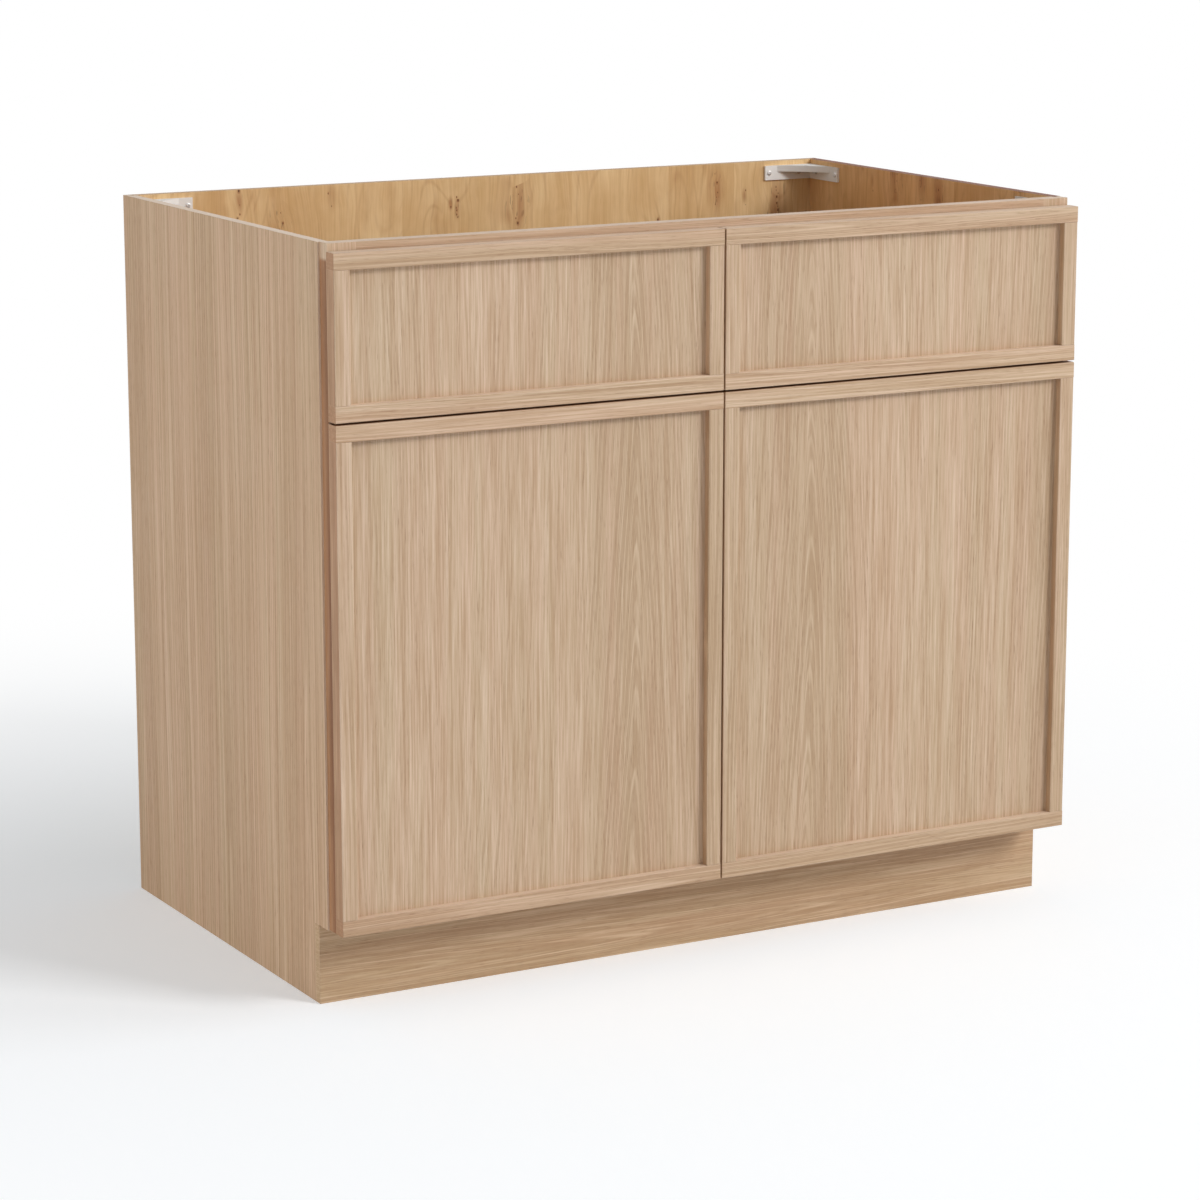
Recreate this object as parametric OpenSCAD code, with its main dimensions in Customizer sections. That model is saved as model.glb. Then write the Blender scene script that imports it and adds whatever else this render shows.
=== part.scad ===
// Face-frame base cabinet with two drawers over two doors.
// Millimetres, +Z up, fronts facing -Y. The origin is on the floor, in the middle of the width and depth.
// Left pieces are drawn in place, and right pieces are their mirror images.

/* [Cabinet] */
// Width over the two side panels
cabinet_w = 990.6; // [930:0.1:1070]
// Height from the floor to the top edge
cabinet_h = 876.3; // [860:0.1:920]
// Depth from the front of the face frame to the back
carcass_d = 581; // [560:0.5:640]
// Thickness of the side panels
side_t = 12.7; // [12:0.1:14]
// Thickness of the back panel
back_t = 12; // [11:0.1:16]
// Thickness of the cabinet floor
floor_t = 12.7; // [9:0.1:19]
// Depth of the grooves that hold the floor, the back and the side tongues
groove_depth = 6; // [4:0.1:7]
// Thickness of the tongue on the front edge of a side panel
tongue_t = 6; // [4:0.1:8]
// Clearance all round a glued joint
joint_gap = 0.1; // [0.05:0.01:0.2]

/* [Toe kick] */
// Height of the toe space
toe_h = 94; // [80:1:110]
// Depth of the toe space behind the face frame's front
toe_recess = 42; // [36:0.5:70]
// Thickness of the toe board
toe_board_t = 12.7; // [9:0.1:19]
// Thickness of the facing on the toe board
toe_skin_t = 11; // [3:0.5:14]

/* [Face frame] */
// Thickness of the face frame
frame_t = 19; // [18:0.1:22]
// Width of the outer stiles
stile_w = 35; // [33:0.5:38]
// Set-in of the stiles from the outer faces of the side panels
frame_inset = 2.5; // [1:0.1:4]
// Height of the top rail
top_rail_h = 38; // [30:0.5:45]
// Height of the rail between drawers and doors
middle_rail_h = 38; // [34:0.5:45]
// Height of the bottom rail
bottom_rail_h = 38; // [34:0.5:45]
// Width of the upright between the drawers
mullion_w = 38; // [38:0.5:45]
// Length of the tenons
tenon_l = 12; // [8:0.5:14]
// Thickness of the tenons
tenon_t = 7; // [5:0.1:8]
// Shoulder above and below a tenon
tenon_shoulder = 7; // [6:0.5:10]

/* [Door and drawer fronts] */
// Thickness of a front
front_t = 19; // [18:0.1:22]
// Gap between the back of a front and the face frame
front_gap = 1.2; // [1:0.05:1.6]
// Set-in of the fronts from the sides of the cabinet
side_reveal = 1; // [0.5:0.1:2]
// Strip of face frame that shows above the drawer fronts
top_reveal = 8.9; // [6:0.1:14]
// Gap between neighbouring fronts
between_gap = 2.5; // [2:0.1:4]
// Height of the drawer fronts
drawer_front_h = 186.9; // [180:0.1:192]
// Lift of the doors above the toe space
door_lift = 1; // [0:0.5:4]
// Width of the slim frame round each front
member_w = 19; // [18:0.1:24]
// Thickness of the recessed panel
panel_t = 9.5; // [9:0.1:11]
// Width of the rebate that holds the panel
rebate_w = 6; // [4:0.5:8]
// Length of the stub tenons at the corners of a front
stub_l = 8; // [5:0.5:9]
// Thickness of the stub tenons
stub_t = 5; // [3:0.1:6]
// Chamfer along the front edges
ease = 0.6; // [0.3:0.1:1]

/* [Shelf] */
// Thickness of the shelf
shelf_t = 19; // [12:0.5:22]
// Depth of the shelf
shelf_d = 380; // [300:1:400]
// Height of the shelf's underside above the cabinet floor
shelf_up = 262; // [200:32:326]
// Gap at each end of the shelf
shelf_gap = 1.5; // [1:0.1:3]
// Distance between shelf pin holes
pin_pitch = 32; // [25:1:40]
// Radius of a shelf pin
pin_r = 2.5; // [2:0.1:3]
// Distance of the shelf pins from the edges of the shelf
pin_in = 40; // [30:1:60]
// Gap between the shelf and the back panel
shelf_back_gap = 2; // [1:0.5:4]
// Depth of a shelf pin hole
pin_depth = 8; // [6:0.5:9]
// Reach of a shelf pin under the shelf
pin_reach = 11; // [9:0.5:16]

/* [Drawer boxes] */
// Length of a drawer box beyond its runners
box_extra = 7; // [4:0.5:12]
// Height of a drawer box
box_h = 90; // [80:1:96]
// Thickness of the box sides
box_t = 12.7; // [12:0.1:16]
// Lift of a drawer box above the rail under it
box_lift = 14; // [10:0.5:20]
// Thickness of the box bottom
bottom_t = 6; // [4:0.1:8]
// Height of the box bottom above the lower edge
bottom_up = 10; // [8:0.5:14]
// Dovetails in each corner
tail_count = 3; // [2:1:4]
// Width of a dovetail where it leaves its board
tail_root = 12; // [8:0.5:16]
// Extra width of a dovetail at its end
tail_flare = 4; // [2:0.5:6]
// Height of the lower screws above the box bottom
front_screw_low = 12; // [8:0.5:16]
// Drop of the upper screws below the box's top edge
front_screw_drop = 16; // [8:0.5:20]
// Distance of the screws from the middle of the drawer front
front_screw_out = 144.7; // [100:0.1:160]

/* [Drawer runners] */
// Height of a runner
runner_h = 45; // [42:0.5:50]
// Room for a runner beside the drawer box
runner_t = 12.7; // [12.5:0.1:14]
// Length of a runner
runner_l = 450; // [400:1:455]
// Thickness of the runner steel
steel_t = 1.2; // [1:0.05:1.5]
// Height of the runner's middle above the box's lower edge
runner_up = 35; // [30:0.5:40]
// Clearance between the runner's sliding members
slide_gap = 0.3; // [0.2:0.05:0.4]
// Thickness of the rear brackets
rear_bracket_t = 1.5; // [1:0.1:2]
// Height of the rear brackets
rear_bracket_h = 36; // [30:1:42]
// Length of the runner that a rear bracket overlaps
rear_bracket_lap = 70; // [50:1:100]
// Width of a rear bracket's foot on the back panel
rear_flange_w = 16; // [12:0.5:17]
// Distance of the rear screw from the channel's end
rear_screw_in = 30; // [20:1:40]
// Set-back of the runners behind the face frame's front
runner_setback = 2; // [1:0.1:4]
// Distance of the first box screw from the front of the runner
slide_screw_front = 60; // [40:1:120]
// Distance of the last box screw from the rear of the runner
slide_screw_rear = 80; // [40:1:120]
// Height of a row of balls outside and inside the middle member
outer_ball_h = 2.5; // [2:0.1:3]
inner_ball_h = 4; // [3:0.1:5]

/* [Hinges] */
// Radius of the cup bore
cup_r = 17.5; // [17:0.1:17.6]
// Depth of the cup bore
cup_depth = 8.2; // [8:0.1:8.4]
// Wall of the cup
cup_wall = 1.4; // [1:0.1:1.5]
// Distance from the stile's inner edge back to the cup's middle
cup_back = 12; // [11.8:0.1:12.2]
// Distance of the hinges from the ends of the door
hinge_end = 100; // [80:1:140]
// Height of the link
link_h = 9; // [7:0.5:9]
// Thickness of the link
link_t = 1.8; // [1.5:0.1:1.8]
// Radius of the link's pins
link_pin_r = 1.5; // [1.2:0.1:1.5]
// Radial clearance between a pin and its link
pin_gap = 0.05; // [0.02:0.01:0.1]
// Thickness of the plate on the stile
plate_t = 1.8; // [1.5:0.1:2]
// Height of the plate on the stile
plate_h = 52; // [50:1:60]

/* [Corner brackets] */
// Length of a bracket's legs
bracket_l = 72; // [68:1:80]
// Height of a bracket
bracket_h = 19; // [17:0.5:24]
// Wall of a bracket
bracket_t = 3; // [2.5:0.1:4]
// Drop of the brackets below the cabinet's top edge
bracket_drop = 6; // [4:0.5:10]
// Length of the web along each leg
web_l = 60; // [50:1:64]
// Depth of the lip on the web's front edge
lip_h = 8; // [5:0.5:10]
// Radius of the hole for the worktop screw
worktop_hole_r = 2.5; // [2:0.1:3]

/* [Screws and bumpers] */
// Radius of a screw's shank
screw_r = 1.75; // [1.5:0.05:2]
// Radius of a screw's head
head_r = 3.2; // [2.8:0.1:3.5]
// Height of a screw's head
head_h = 1.2; // [0.8:0.1:1.4]
// Length of thread in the wood
bite = 9; // [6:0.5:9.5]
// Radius of a bumper
bumper_r = 4; // [3:0.5:5]
// Distance of the bumpers from the edges of a front
bumper_in = 14; // [10:0.5:18]
// Distance of the bumpers from the upper edge of a door
bumper_down = 9; // [7:0.5:12]

/* [Hidden] */
$fn = 48;
over = 1;
oak = "#cdb194";
oak_dark = "#b9987a";
plywood = "#c8a067";
plastic = "#e9e4de";
zinc = "#b9bcc0";
clear_grey = "#d9dadb";

// Planes of the cabinet, from the floor, the middle of the width and the middle of the depth
front_stack = front_t + front_gap;
y_frame = (front_stack - carcass_d) / 2;
y_front_back = y_frame - front_gap;
y_carcass = y_frame + frame_t;
y_rear = y_frame + carcass_d;
y_back_face = y_rear - back_t;
x_out = cabinet_w / 2;
x_in = x_out - side_t;
floor_top = toe_h + bottom_rail_h;
floor_z = floor_top - floor_t;

// Face frame
stile_out = x_out - frame_inset;
stile_in = stile_out - stile_w;
top_rail_z = cabinet_h - top_rail_h;
drawer_front_z = cabinet_h - top_reveal - drawer_front_h;
door_z = toe_h + door_lift;
door_top = drawer_front_z - between_gap;
middle_rail_z = drawer_front_z - between_gap / 2 - middle_rail_h / 2;
middle_rail_top = middle_rail_z + middle_rail_h;
y_tenon = y_frame + frame_t / 2;

// Fronts
front_out = x_out - side_reveal;
front_in = between_gap / 2;
stub_y = y_front_back - (panel_t + front_t) / 2;

// Shelf
shelf_z = floor_top + shelf_up;
shelf_back = y_back_face - shelf_back_gap;
shelf_front = shelf_back - shelf_d;
pin_rows = [-3:3];
pin_ys = [shelf_front + pin_in, shelf_back - pin_in];
pin_z = shelf_z - steel_t - pin_r;

// Drawers
opening_mid = (stile_in + mullion_w / 2) / 2;
opening_half = (stile_in - mullion_w / 2) / 2;
box_half = opening_half - runner_t;
box_z = middle_rail_top + box_lift;
box_front = y_front_back;
box_rear = box_front + runner_l + box_extra;
tail_pitch = box_h / tail_count;
front_screw_zs = [box_z + bottom_up + bottom_t + front_screw_low, box_z + box_h - front_screw_drop];
front_screw_bite = panel_t - 1.5;

// Runners
runner_z = box_z + runner_up;
channel_front = y_frame + runner_setback;
channel_rear = channel_front + runner_l;
channel_half = runner_h / 2;
middle_half = channel_half - steel_t - slide_gap - outer_ball_h;
inner_half = middle_half - steel_t - inner_ball_h - slide_gap;
middle_u = 2.5 * steel_t;
middle_depth = 5 * steel_t;
channel_depth = runner_t - 2.5 * steel_t;
slide_depth = runner_t - middle_u - steel_t - 0.8;
ball_w = 3;
rear_bracket_front = channel_rear - rear_bracket_lap;
rear_screw_y = channel_rear - rear_screw_in;
rear_screw_end = 3;
runner_screw_y = y_frame + frame_t / 2;
slide_screw_ys = [channel_front + slide_screw_front, channel_rear - slide_screw_rear];

// Hinges, with u across from the outer face of the side and v back from the face frame's front
edge_u = frame_inset + stile_w;
cup_u = edge_u - cup_back;
arm_out = 6.5;
arm_back = 8.5;
pin_off = 9.5;
pin_ahead = 4.2;
link_ahead = 6.5;
link_knee = [1.7, -3.5];
link_neck = [1.9, 0.5];
arm_pin = [edge_u + arm_out, arm_back];
cup_pin = [cup_u - pin_off, -pin_ahead];
link_start = [cup_pin.x + 4, -link_ahead];
link_end = [edge_u - 3, -link_ahead];
link_path = [cup_pin, link_start, link_end, [edge_u, 0] + link_knee, [edge_u, 0] + link_neck, arm_pin];
hinge_zs = [door_z + hinge_end, door_top - hinge_end];
eye_r = 2.9;
cheek_gap = link_h / 2 + 0.6;
cheek_t = plate_t;
web_v = [13, 15];
plate_v = [4, 18.5];
plate_screw_z = 18;
plate_screw_v = 11.5;
flange_t = 0.8;
flange_u = cup_u + pin_off;
dowel_z = 22.5;
dowel_r = 4;
dowel_l = 7;

// Corner brackets
bracket_z = cabinet_h - bracket_drop;
bracket_screw_places = [20, bracket_l - 6];
worktop_hole = 22;

// Building blocks

// A box from its lowest corner to its highest corner
module block(low, high) {
    translate(low) cube(high - low);
}

module rod_x(start, length, r) {
    translate(start) rotate([0, 90, 0]) cylinder(h = length, r = r);
}

module rod_y(start, length, r) {
    translate(start) rotate([-90, 0, 0]) cylinder(h = length, r = r);
}

module rod_z(start, length, r) {
    translate(start) cylinder(h = length, r = r);
}

// The pieces of a pair, mirrored about the plane x = 0
module pair() {
    children();
    mirror([1, 0, 0]) children();
}

// A screw whose head rests on z = 0, with its shank pointing down
module screw(shank) {
    cylinder(h = head_h, r = head_r);
    translate([0, 0, -shank]) cylinder(h = shank, r = screw_r);
}

// Carcass

module side_panel_solid() {
    difference() {
        union() {
            block([-x_out, y_carcass, 0], [-x_in, y_rear, cabinet_h]);
            block([-x_in - tongue_t, y_carcass - groove_depth + joint_gap, toe_h],
                  [-x_in, y_carcass + over, cabinet_h]);
        }
        block([-x_out - over, y_frame - over, -over],
              [-x_in + over, y_frame + toe_recess + toe_skin_t, toe_h]);
        block([-x_in - groove_depth, y_frame, floor_z - joint_gap],
              [-x_in + over, y_back_face, floor_top + joint_gap]);
        block([-x_in - groove_depth, y_back_face - joint_gap, -over],
              [-x_in + over, y_rear + over, cabinet_h + over]);
        for (y = pin_ys, row = pin_rows)
            rod_x([-x_in - pin_depth, y, pin_z + row * pin_pitch], pin_depth + over, pin_r);
        bracket_shanks();
    }
}

module side_panel() {
    color(oak) side_panel_solid();
}

module back_panel() {
    half = x_in + groove_depth - joint_gap;
    color(plywood) difference() {
        block([-half, y_back_face, 0], [half, y_rear, cabinet_h]);
        bracket_shanks();
        rear_bracket_shanks();
    }
}

module floor_panel() {
    half = x_in + groove_depth - joint_gap;
    color(plywood) block([-half, y_carcass, floor_z], [half, y_back_face, floor_top]);
}

module toe_kick_board() {
    front = y_frame + toe_recess + toe_skin_t;
    color(plywood) block([-x_in, front, 0], [x_in, front + toe_board_t, floor_z]);
}

module toe_kick_skin() {
    front = y_frame + toe_recess;
    color(oak_dark) block([-x_out, front, 0], [x_out, front + toe_skin_t, toe_h - joint_gap]);
}

// Face frame

module rail_tenons(z, h, clearance) {
    reach = stile_in + tenon_l + clearance;
    half = tenon_t / 2 + clearance;
    block([-reach, y_tenon - half, z + tenon_shoulder - clearance],
          [reach, y_tenon + half, z + h - tenon_shoulder + clearance]);
}

module mullion_tenons(clearance) {
    across = mullion_w / 2 - tenon_shoulder + clearance;
    half = tenon_t / 2 + clearance;
    block([-across, y_tenon - half, middle_rail_top - tenon_l - clearance],
          [across, y_tenon + half, top_rail_z + tenon_l + clearance]);
}

module frame_stile() {
    color(oak) difference() {
        block([-stile_out, y_frame, toe_h], [-stile_in, y_carcass, cabinet_h]);
        rail_tenons(toe_h, bottom_rail_h, joint_gap);
        rail_tenons(middle_rail_z, middle_rail_h, joint_gap);
        rail_tenons(top_rail_z, top_rail_h, joint_gap);
        block([-x_in - tongue_t - joint_gap, y_carcass - groove_depth, toe_h - over],
              [-x_in + joint_gap, y_carcass + over, cabinet_h + over]);
        bracket_shanks();
        hinge_plate_shanks();
        runner_front_shanks();
    }
}

module frame_rail(z, h) {
    block([-stile_in, y_frame, z], [stile_in, y_carcass, z + h]);
    rail_tenons(z, h, 0);
}

module frame_top_rail() {
    color(oak) difference() {
        frame_rail(top_rail_z, top_rail_h);
        mullion_tenons(joint_gap);
        bracket_shanks();
    }
}

module frame_middle_rail() {
    color(oak) difference() {
        frame_rail(middle_rail_z, middle_rail_h);
        mullion_tenons(joint_gap);
    }
}

module frame_bottom_rail() {
    color(oak) frame_rail(toe_h, bottom_rail_h);
}

module frame_mullion() {
    color(oak) difference() {
        union() {
            block([-mullion_w / 2, y_frame, middle_rail_top], [mullion_w / 2, y_carcass, top_rail_z]);
            mullion_tenons(0);
        }
        pair() runner_front_shanks();
    }
}

module frame_bumpers() {
    height = front_gap - 0.2;
    color(clear_grey) pair() {
        for (x = [front_in + bumper_in, front_out - bumper_in])
            rod_y([-x, y_frame - height, cabinet_h - top_reveal - bumper_in], height, bumper_r);
        for (z = [door_top - bumper_down, door_z + bumper_in])
            rod_y([-front_in - bumper_in, y_frame - height, z], height, bumper_r);
    }
}

// Shelf

module shelf() {
    half = x_in - shelf_gap;
    color(plywood) block([-half, shelf_front, shelf_z], [half, shelf_back, shelf_z + shelf_t]);
}

// A pin in its hole, with a flat tongue under the shelf
module shelf_pin(y) {
    rod_x([-x_in - pin_depth, y, pin_z], pin_depth + pin_reach, pin_r);
    block([-x_in, y - 2 * pin_r, shelf_z - steel_t], [-x_in + pin_reach, y + 2 * pin_r, shelf_z]);
}

module shelf_pins() {
    color(zinc) pair() for (y = pin_ys) shelf_pin(y);
}

// Corner brackets, drawn with the corner of the walls at 0, 0 and the top at z = 0

module web_shape() {
    bow = 8;
    half_chord = web_l / sqrt(2);
    bow_r = (half_chord * half_chord + bow * bow) / (2 * bow);
    middle = web_l / 2 + (bow_r - bow) / sqrt(2);
    difference() {
        polygon([[0, 0], [web_l, 0], [0, web_l]]);
        translate([middle, middle]) circle(r = bow_r, $fn = 96);
    }
}

module lip_shape() {
    difference() {
        web_shape();
        translate([-bracket_t, -bracket_t]) web_shape();
        square([bracket_t, web_l]);
        square([web_l, bracket_t]);
    }
}

module bracket_solid() {
    difference() {
        union() {
            block([0, 0, -bracket_h], [bracket_l, bracket_t, 0]);
            block([0, 0, -bracket_h], [bracket_t, bracket_l, 0]);
            translate([0, 0, -bracket_t]) linear_extrude(bracket_t) web_shape();
            translate([0, 0, -lip_h]) linear_extrude(lip_h) lip_shape();
        }
        for (place = bracket_screw_places) {
            rod_y([place, -over, -bracket_h / 2], bracket_t + 2 * over, screw_r);
            rod_x([-over, place, -bracket_h / 2], bracket_t + 2 * over, screw_r);
        }
        rod_z([worktop_hole, worktop_hole, -bracket_t - over], bracket_t + 2 * over, worktop_hole_r);
    }
}

module bracket_shanks_at_corner() {
    for (place = bracket_screw_places) {
        rod_y([place, -bite, -bracket_h / 2], bite, screw_r);
        rod_x([-bite, place, -bracket_h / 2], bite, screw_r);
    }
}

module bracket_screws_at_corner() {
    for (place = bracket_screw_places) {
        translate([place, bracket_t, -bracket_h / 2]) rotate([-90, 0, 0]) screw(bracket_t + bite);
        translate([bracket_t, place, -bracket_h / 2]) rotate([0, 90, 0]) screw(bracket_t + bite);
    }
}

module at_front_corner() {
    translate([-x_in, y_carcass, bracket_z]) children();
}

module at_rear_corner() {
    translate([-x_in, y_back_face, bracket_z]) mirror([0, 1, 0]) children();
}

module bracket_shanks() {
    pair() {
        at_front_corner() bracket_shanks_at_corner();
        at_rear_corner() bracket_shanks_at_corner();
    }
}

module corner_bracket_front() {
    color(plastic) at_front_corner() bracket_solid();
}

module corner_bracket_rear() {
    color(plastic) at_rear_corner() bracket_solid();
}

module corner_bracket_screws() {
    color(zinc) pair() {
        at_front_corner() bracket_screws_at_corner();
        at_rear_corner() bracket_screws_at_corner();
    }
}

// Drawer runners, drawn with x = 0 on the edge of the opening and +x towards the drawer box

// Both edges of the left opening
module at_opening_edges() {
    translate([-opening_mid, 0, 0]) pair() translate([-opening_half, 0, 0]) children();
}

// A channel that lies open towards +x or, with web_last, towards -x
module channel(u, depth, half, y0, y1, web_last) {
    web_u = web_last ? u + depth - steel_t : u;
    block([web_u, y0, runner_z - half], [web_u + steel_t, y1, runner_z + half]);
    block([u, y0, runner_z + half - steel_t], [u + depth, y1, runner_z + half]);
    block([u, y0, runner_z - half], [u + depth, y1, runner_z - half + steel_t]);
}

// A strip of balls in its cage, between two heights above and below the middle
module ball_strips(u, width, low, high) {
    for (s = [-1, 1]) {
        z = runner_z + s * (low + high) / 2;
        half = (high - low) / 2;
        block([u, channel_front + 6, z - half], [u + width, channel_rear - 6, z + half]);
    }
}

module runner_channels() {
    color(zinc) difference() {
        at_opening_edges() channel(0, channel_depth, channel_half, channel_front, channel_rear, false);
        runner_front_shanks();
        runner_rear_shanks();
    }
}

module runner_middles() {
    color(zinc) at_opening_edges() {
        channel(middle_u, middle_depth, middle_half, channel_front + 4, channel_rear - 4, false);
        ball_strips(middle_u + 2, ball_w, middle_half - over, channel_half - steel_t - slide_gap);
        ball_strips(middle_u + 3, ball_w, inner_half + slide_gap, middle_half - steel_t + over);
    }
}

module runner_slides() {
    color(zinc) difference() {
        at_opening_edges()
            channel(runner_t - slide_depth, slide_depth, inner_half,
                    channel_front + 1, channel_rear - 2, true);
        slide_shanks();
    }
}

module slide_shanks() {
    at_opening_edges() for (y = slide_screw_ys)
        rod_x([runner_t - steel_t - over, y, runner_z], steel_t + over + bite, screw_r);
}

module runner_front_shanks() {
    at_opening_edges() rod_x([-bite, runner_screw_y, runner_z], bite + steel_t, screw_r);
}

module runner_rear_shanks() {
    shank = rear_bracket_t + rear_screw_end + steel_t;
    at_opening_edges() rod_x([steel_t - shank, rear_screw_y, runner_z], shank, screw_r);
}

module rear_bracket_shanks() {
    pair() at_opening_edges() for (s = [-1, 1])
        rod_y([-rear_flange_w / 2, y_back_face - rear_bracket_t, runner_z + s * rear_bracket_h / 4],
              rear_bracket_t + bite, screw_r);
}

module runner_rear_brackets() {
    half = rear_bracket_h / 2;
    color(zinc) difference() {
        pair() at_opening_edges() {
            block([-rear_bracket_t, rear_bracket_front, runner_z - half],
                  [0, y_back_face, runner_z + half]);
            block([-rear_flange_w, y_back_face - rear_bracket_t, runner_z - half],
                  [0, y_back_face, runner_z + half]);
        }
        pair() runner_rear_shanks();
        rear_bracket_shanks();
    }
}

module fixing_screws() {
    color(zinc) pair() {
        at_opening_edges() {
            translate([steel_t, runner_screw_y, runner_z]) rotate([0, 90, 0]) screw(steel_t + bite);
            translate([steel_t, rear_screw_y, runner_z]) rotate([0, 90, 0])
                screw(steel_t + rear_bracket_t + rear_screw_end);
            for (s = [-1, 1])
                translate([-rear_flange_w / 2, y_back_face - rear_bracket_t,
                           runner_z + s * rear_bracket_h / 4])
                    rotate([90, 0, 0]) screw(rear_bracket_t + bite);
        }
        at_hinges() for (s = [-1, 1])
            translate([edge_u + plate_t, plate_screw_v, s * plate_screw_z])
                rotate([0, 90, 0]) screw(plate_t + bite);
    }
}

// Drawer boxes and fronts

// Dovetails on the front end of the left box side, pointing towards -y from y = 0
module tails(clearance) {
    root = tail_root / 2 + clearance;
    tip = root + tail_flare / 2;
    for (i = [0:tail_count - 1])
        translate([0, 0, box_z + (i + 0.5) * tail_pitch]) rotate([90, 0, 90])
            linear_extrude(box_t + clearance)
                polygon([[0, -root], [0, root], [-box_t, tip], [-box_t, -tip]]);
}

module tails_at_ends(clearance) {
    translate([-box_half, box_front + box_t, 0]) tails(clearance);
    translate([-box_half, box_rear - box_t, 0]) mirror([0, 1, 0]) tails(clearance);
}

module in_opening() {
    translate([-opening_mid, 0, 0]) children();
}

module box_bottom_solid(clearance) {
    half = box_half - box_t + groove_depth + clearance;
    z = box_z + bottom_up;
    block([-half, box_front + box_t - groove_depth - clearance, z - clearance],
          [half, box_rear - box_t + groove_depth + clearance, z + bottom_t + clearance]);
}

module drawer_box_sides() {
    color(plywood) difference() {
        in_opening() difference() {
            pair() union() {
                block([-box_half, box_front + box_t, box_z],
                      [-box_half + box_t, box_rear - box_t, box_z + box_h]);
                tails_at_ends(0);
            }
            box_bottom_solid(0);
        }
        slide_shanks();
    }
}

module box_end(y) {
    difference() {
        block([-box_half, y, box_z], [box_half, y + box_t, box_z + box_h]);
        pair() tails_at_ends(joint_gap);
        box_bottom_solid(0);
    }
}

module drawer_box_front() {
    color(plywood) difference() {
        in_opening() box_end(box_front);
        front_screw_shanks();
    }
}

module drawer_box_back() {
    color(plywood) in_opening() box_end(box_rear - box_t);
}

module drawer_box_bottom() {
    color(plywood) in_opening() box_bottom_solid(-joint_gap);
}

module front_screw_shanks() {
    in_opening() pair() for (z = front_screw_zs)
        rod_y([-front_screw_out, box_front - front_screw_bite, z],
              box_t + over + front_screw_bite, screw_r);
}

module drawer_screws() {
    color(zinc) {
        in_opening() pair() for (z = front_screw_zs)
            translate([-front_screw_out, box_front + box_t, z]) rotate([-90, 0, 0])
                screw(box_t + front_screw_bite);
        at_opening_edges() for (y = slide_screw_ys)
            translate([runner_t - steel_t, y, runner_z]) rotate([0, -90, 0]) screw(steel_t + bite);
    }
}

// The slim frame of a front runs round from z0 to z1, and its panel lies in a rebate at the back

module eased_rectangle(width, depth) {
    polygon([[0, 0], [width, 0], [width, depth - ease], [width - ease, depth],
             [ease, depth], [0, depth - ease]]);
}

module front_opening(z0, z1) {
    block([-front_out + member_w - rebate_w, y_front_back - panel_t, z0 + member_w - rebate_w],
          [-front_in - member_w + rebate_w, y_front_back + over, z1 - member_w + rebate_w]);
}

// Stub tenons of both stiles of a front
module stubs(z0, z1, clearance) {
    half = stub_t / 2 + clearance;
    reach = member_w - stub_l - clearance;
    for (x = [-front_out, -front_in - member_w])
        block([x + 4 - clearance, stub_y - half, z0 + reach],
              [x + member_w - 4 + clearance, stub_y + half, z1 - reach]);
}

// A rail across the front, with its lower edge at z
module front_rail_bar(z) {
    translate([-front_out, y_front_back, z + member_w]) mirror([0, 1, 0]) rotate([0, 90, 0])
        linear_extrude(front_out - front_in) eased_rectangle(member_w, front_t);
}

module front_rail(z, z0, z1) {
    difference() {
        front_rail_bar(z);
        front_opening(z0, z1);
        stubs(z0, z1, joint_gap);
    }
}

// A stile with its left edge at x
module front_stile(x, z0, z1) {
    difference() {
        union() {
            translate([x, y_front_back, z0 + member_w]) mirror([0, 1, 0])
                linear_extrude(z1 - z0 - 2 * member_w) eased_rectangle(member_w, front_t);
            intersection() {
                stubs(z0, z1, 0);
                block([x, y_front_back - front_t, z0], [x + member_w, y_front_back, z1]);
            }
        }
        front_opening(z0, z1);
    }
}

module front_panel(z0, z1) {
    inset = member_w - rebate_w + joint_gap;
    block([-front_out + inset, y_front_back - panel_t, z0 + inset],
          [-front_in - inset, y_front_back, z1 - inset]);
}

module drawer_front_rails() {
    top = drawer_front_z + drawer_front_h;
    color(oak) {
        front_rail(drawer_front_z, drawer_front_z, top);
        front_rail(top - member_w, drawer_front_z, top);
    }
}

module drawer_front_stiles() {
    top = drawer_front_z + drawer_front_h;
    color(oak) {
        front_stile(-front_out, drawer_front_z, top);
        front_stile(-front_in - member_w, drawer_front_z, top);
    }
}

module drawer_front_panel() {
    color(oak) difference() {
        front_panel(drawer_front_z, drawer_front_z + drawer_front_h);
        front_screw_shanks();
    }
}

// Doors

module door_top_rail() {
    color(oak) front_rail(door_top - member_w, door_z, door_top);
}

module door_bottom_rail() {
    color(oak) front_rail(door_z, door_z, door_top);
}

module door_hinge_stile() {
    color(oak) difference() {
        front_stile(-front_out, door_z, door_top);
        hinge_bores();
    }
}

module door_meeting_stile() {
    color(oak) front_stile(-front_in - member_w, door_z, door_top);
}

module door_panel() {
    color(oak) difference() {
        front_panel(door_z, door_top);
        hinge_bores();
    }
}

// Hinges, drawn with x = u, y = v and z = 0 in the middle of the hinge

module at_hinges() {
    for (z = hinge_zs) translate([-x_out, y_frame, z]) children();
}

module hinge_bores() {
    at_hinges() {
        rod_y([cup_u, -front_gap - cup_depth, 0], cup_depth + over, cup_r);
        for (s = [-1, 1])
            rod_y([flange_u, -front_gap - dowel_l, s * dowel_z], dowel_l + over, dowel_r);
    }
}

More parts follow.
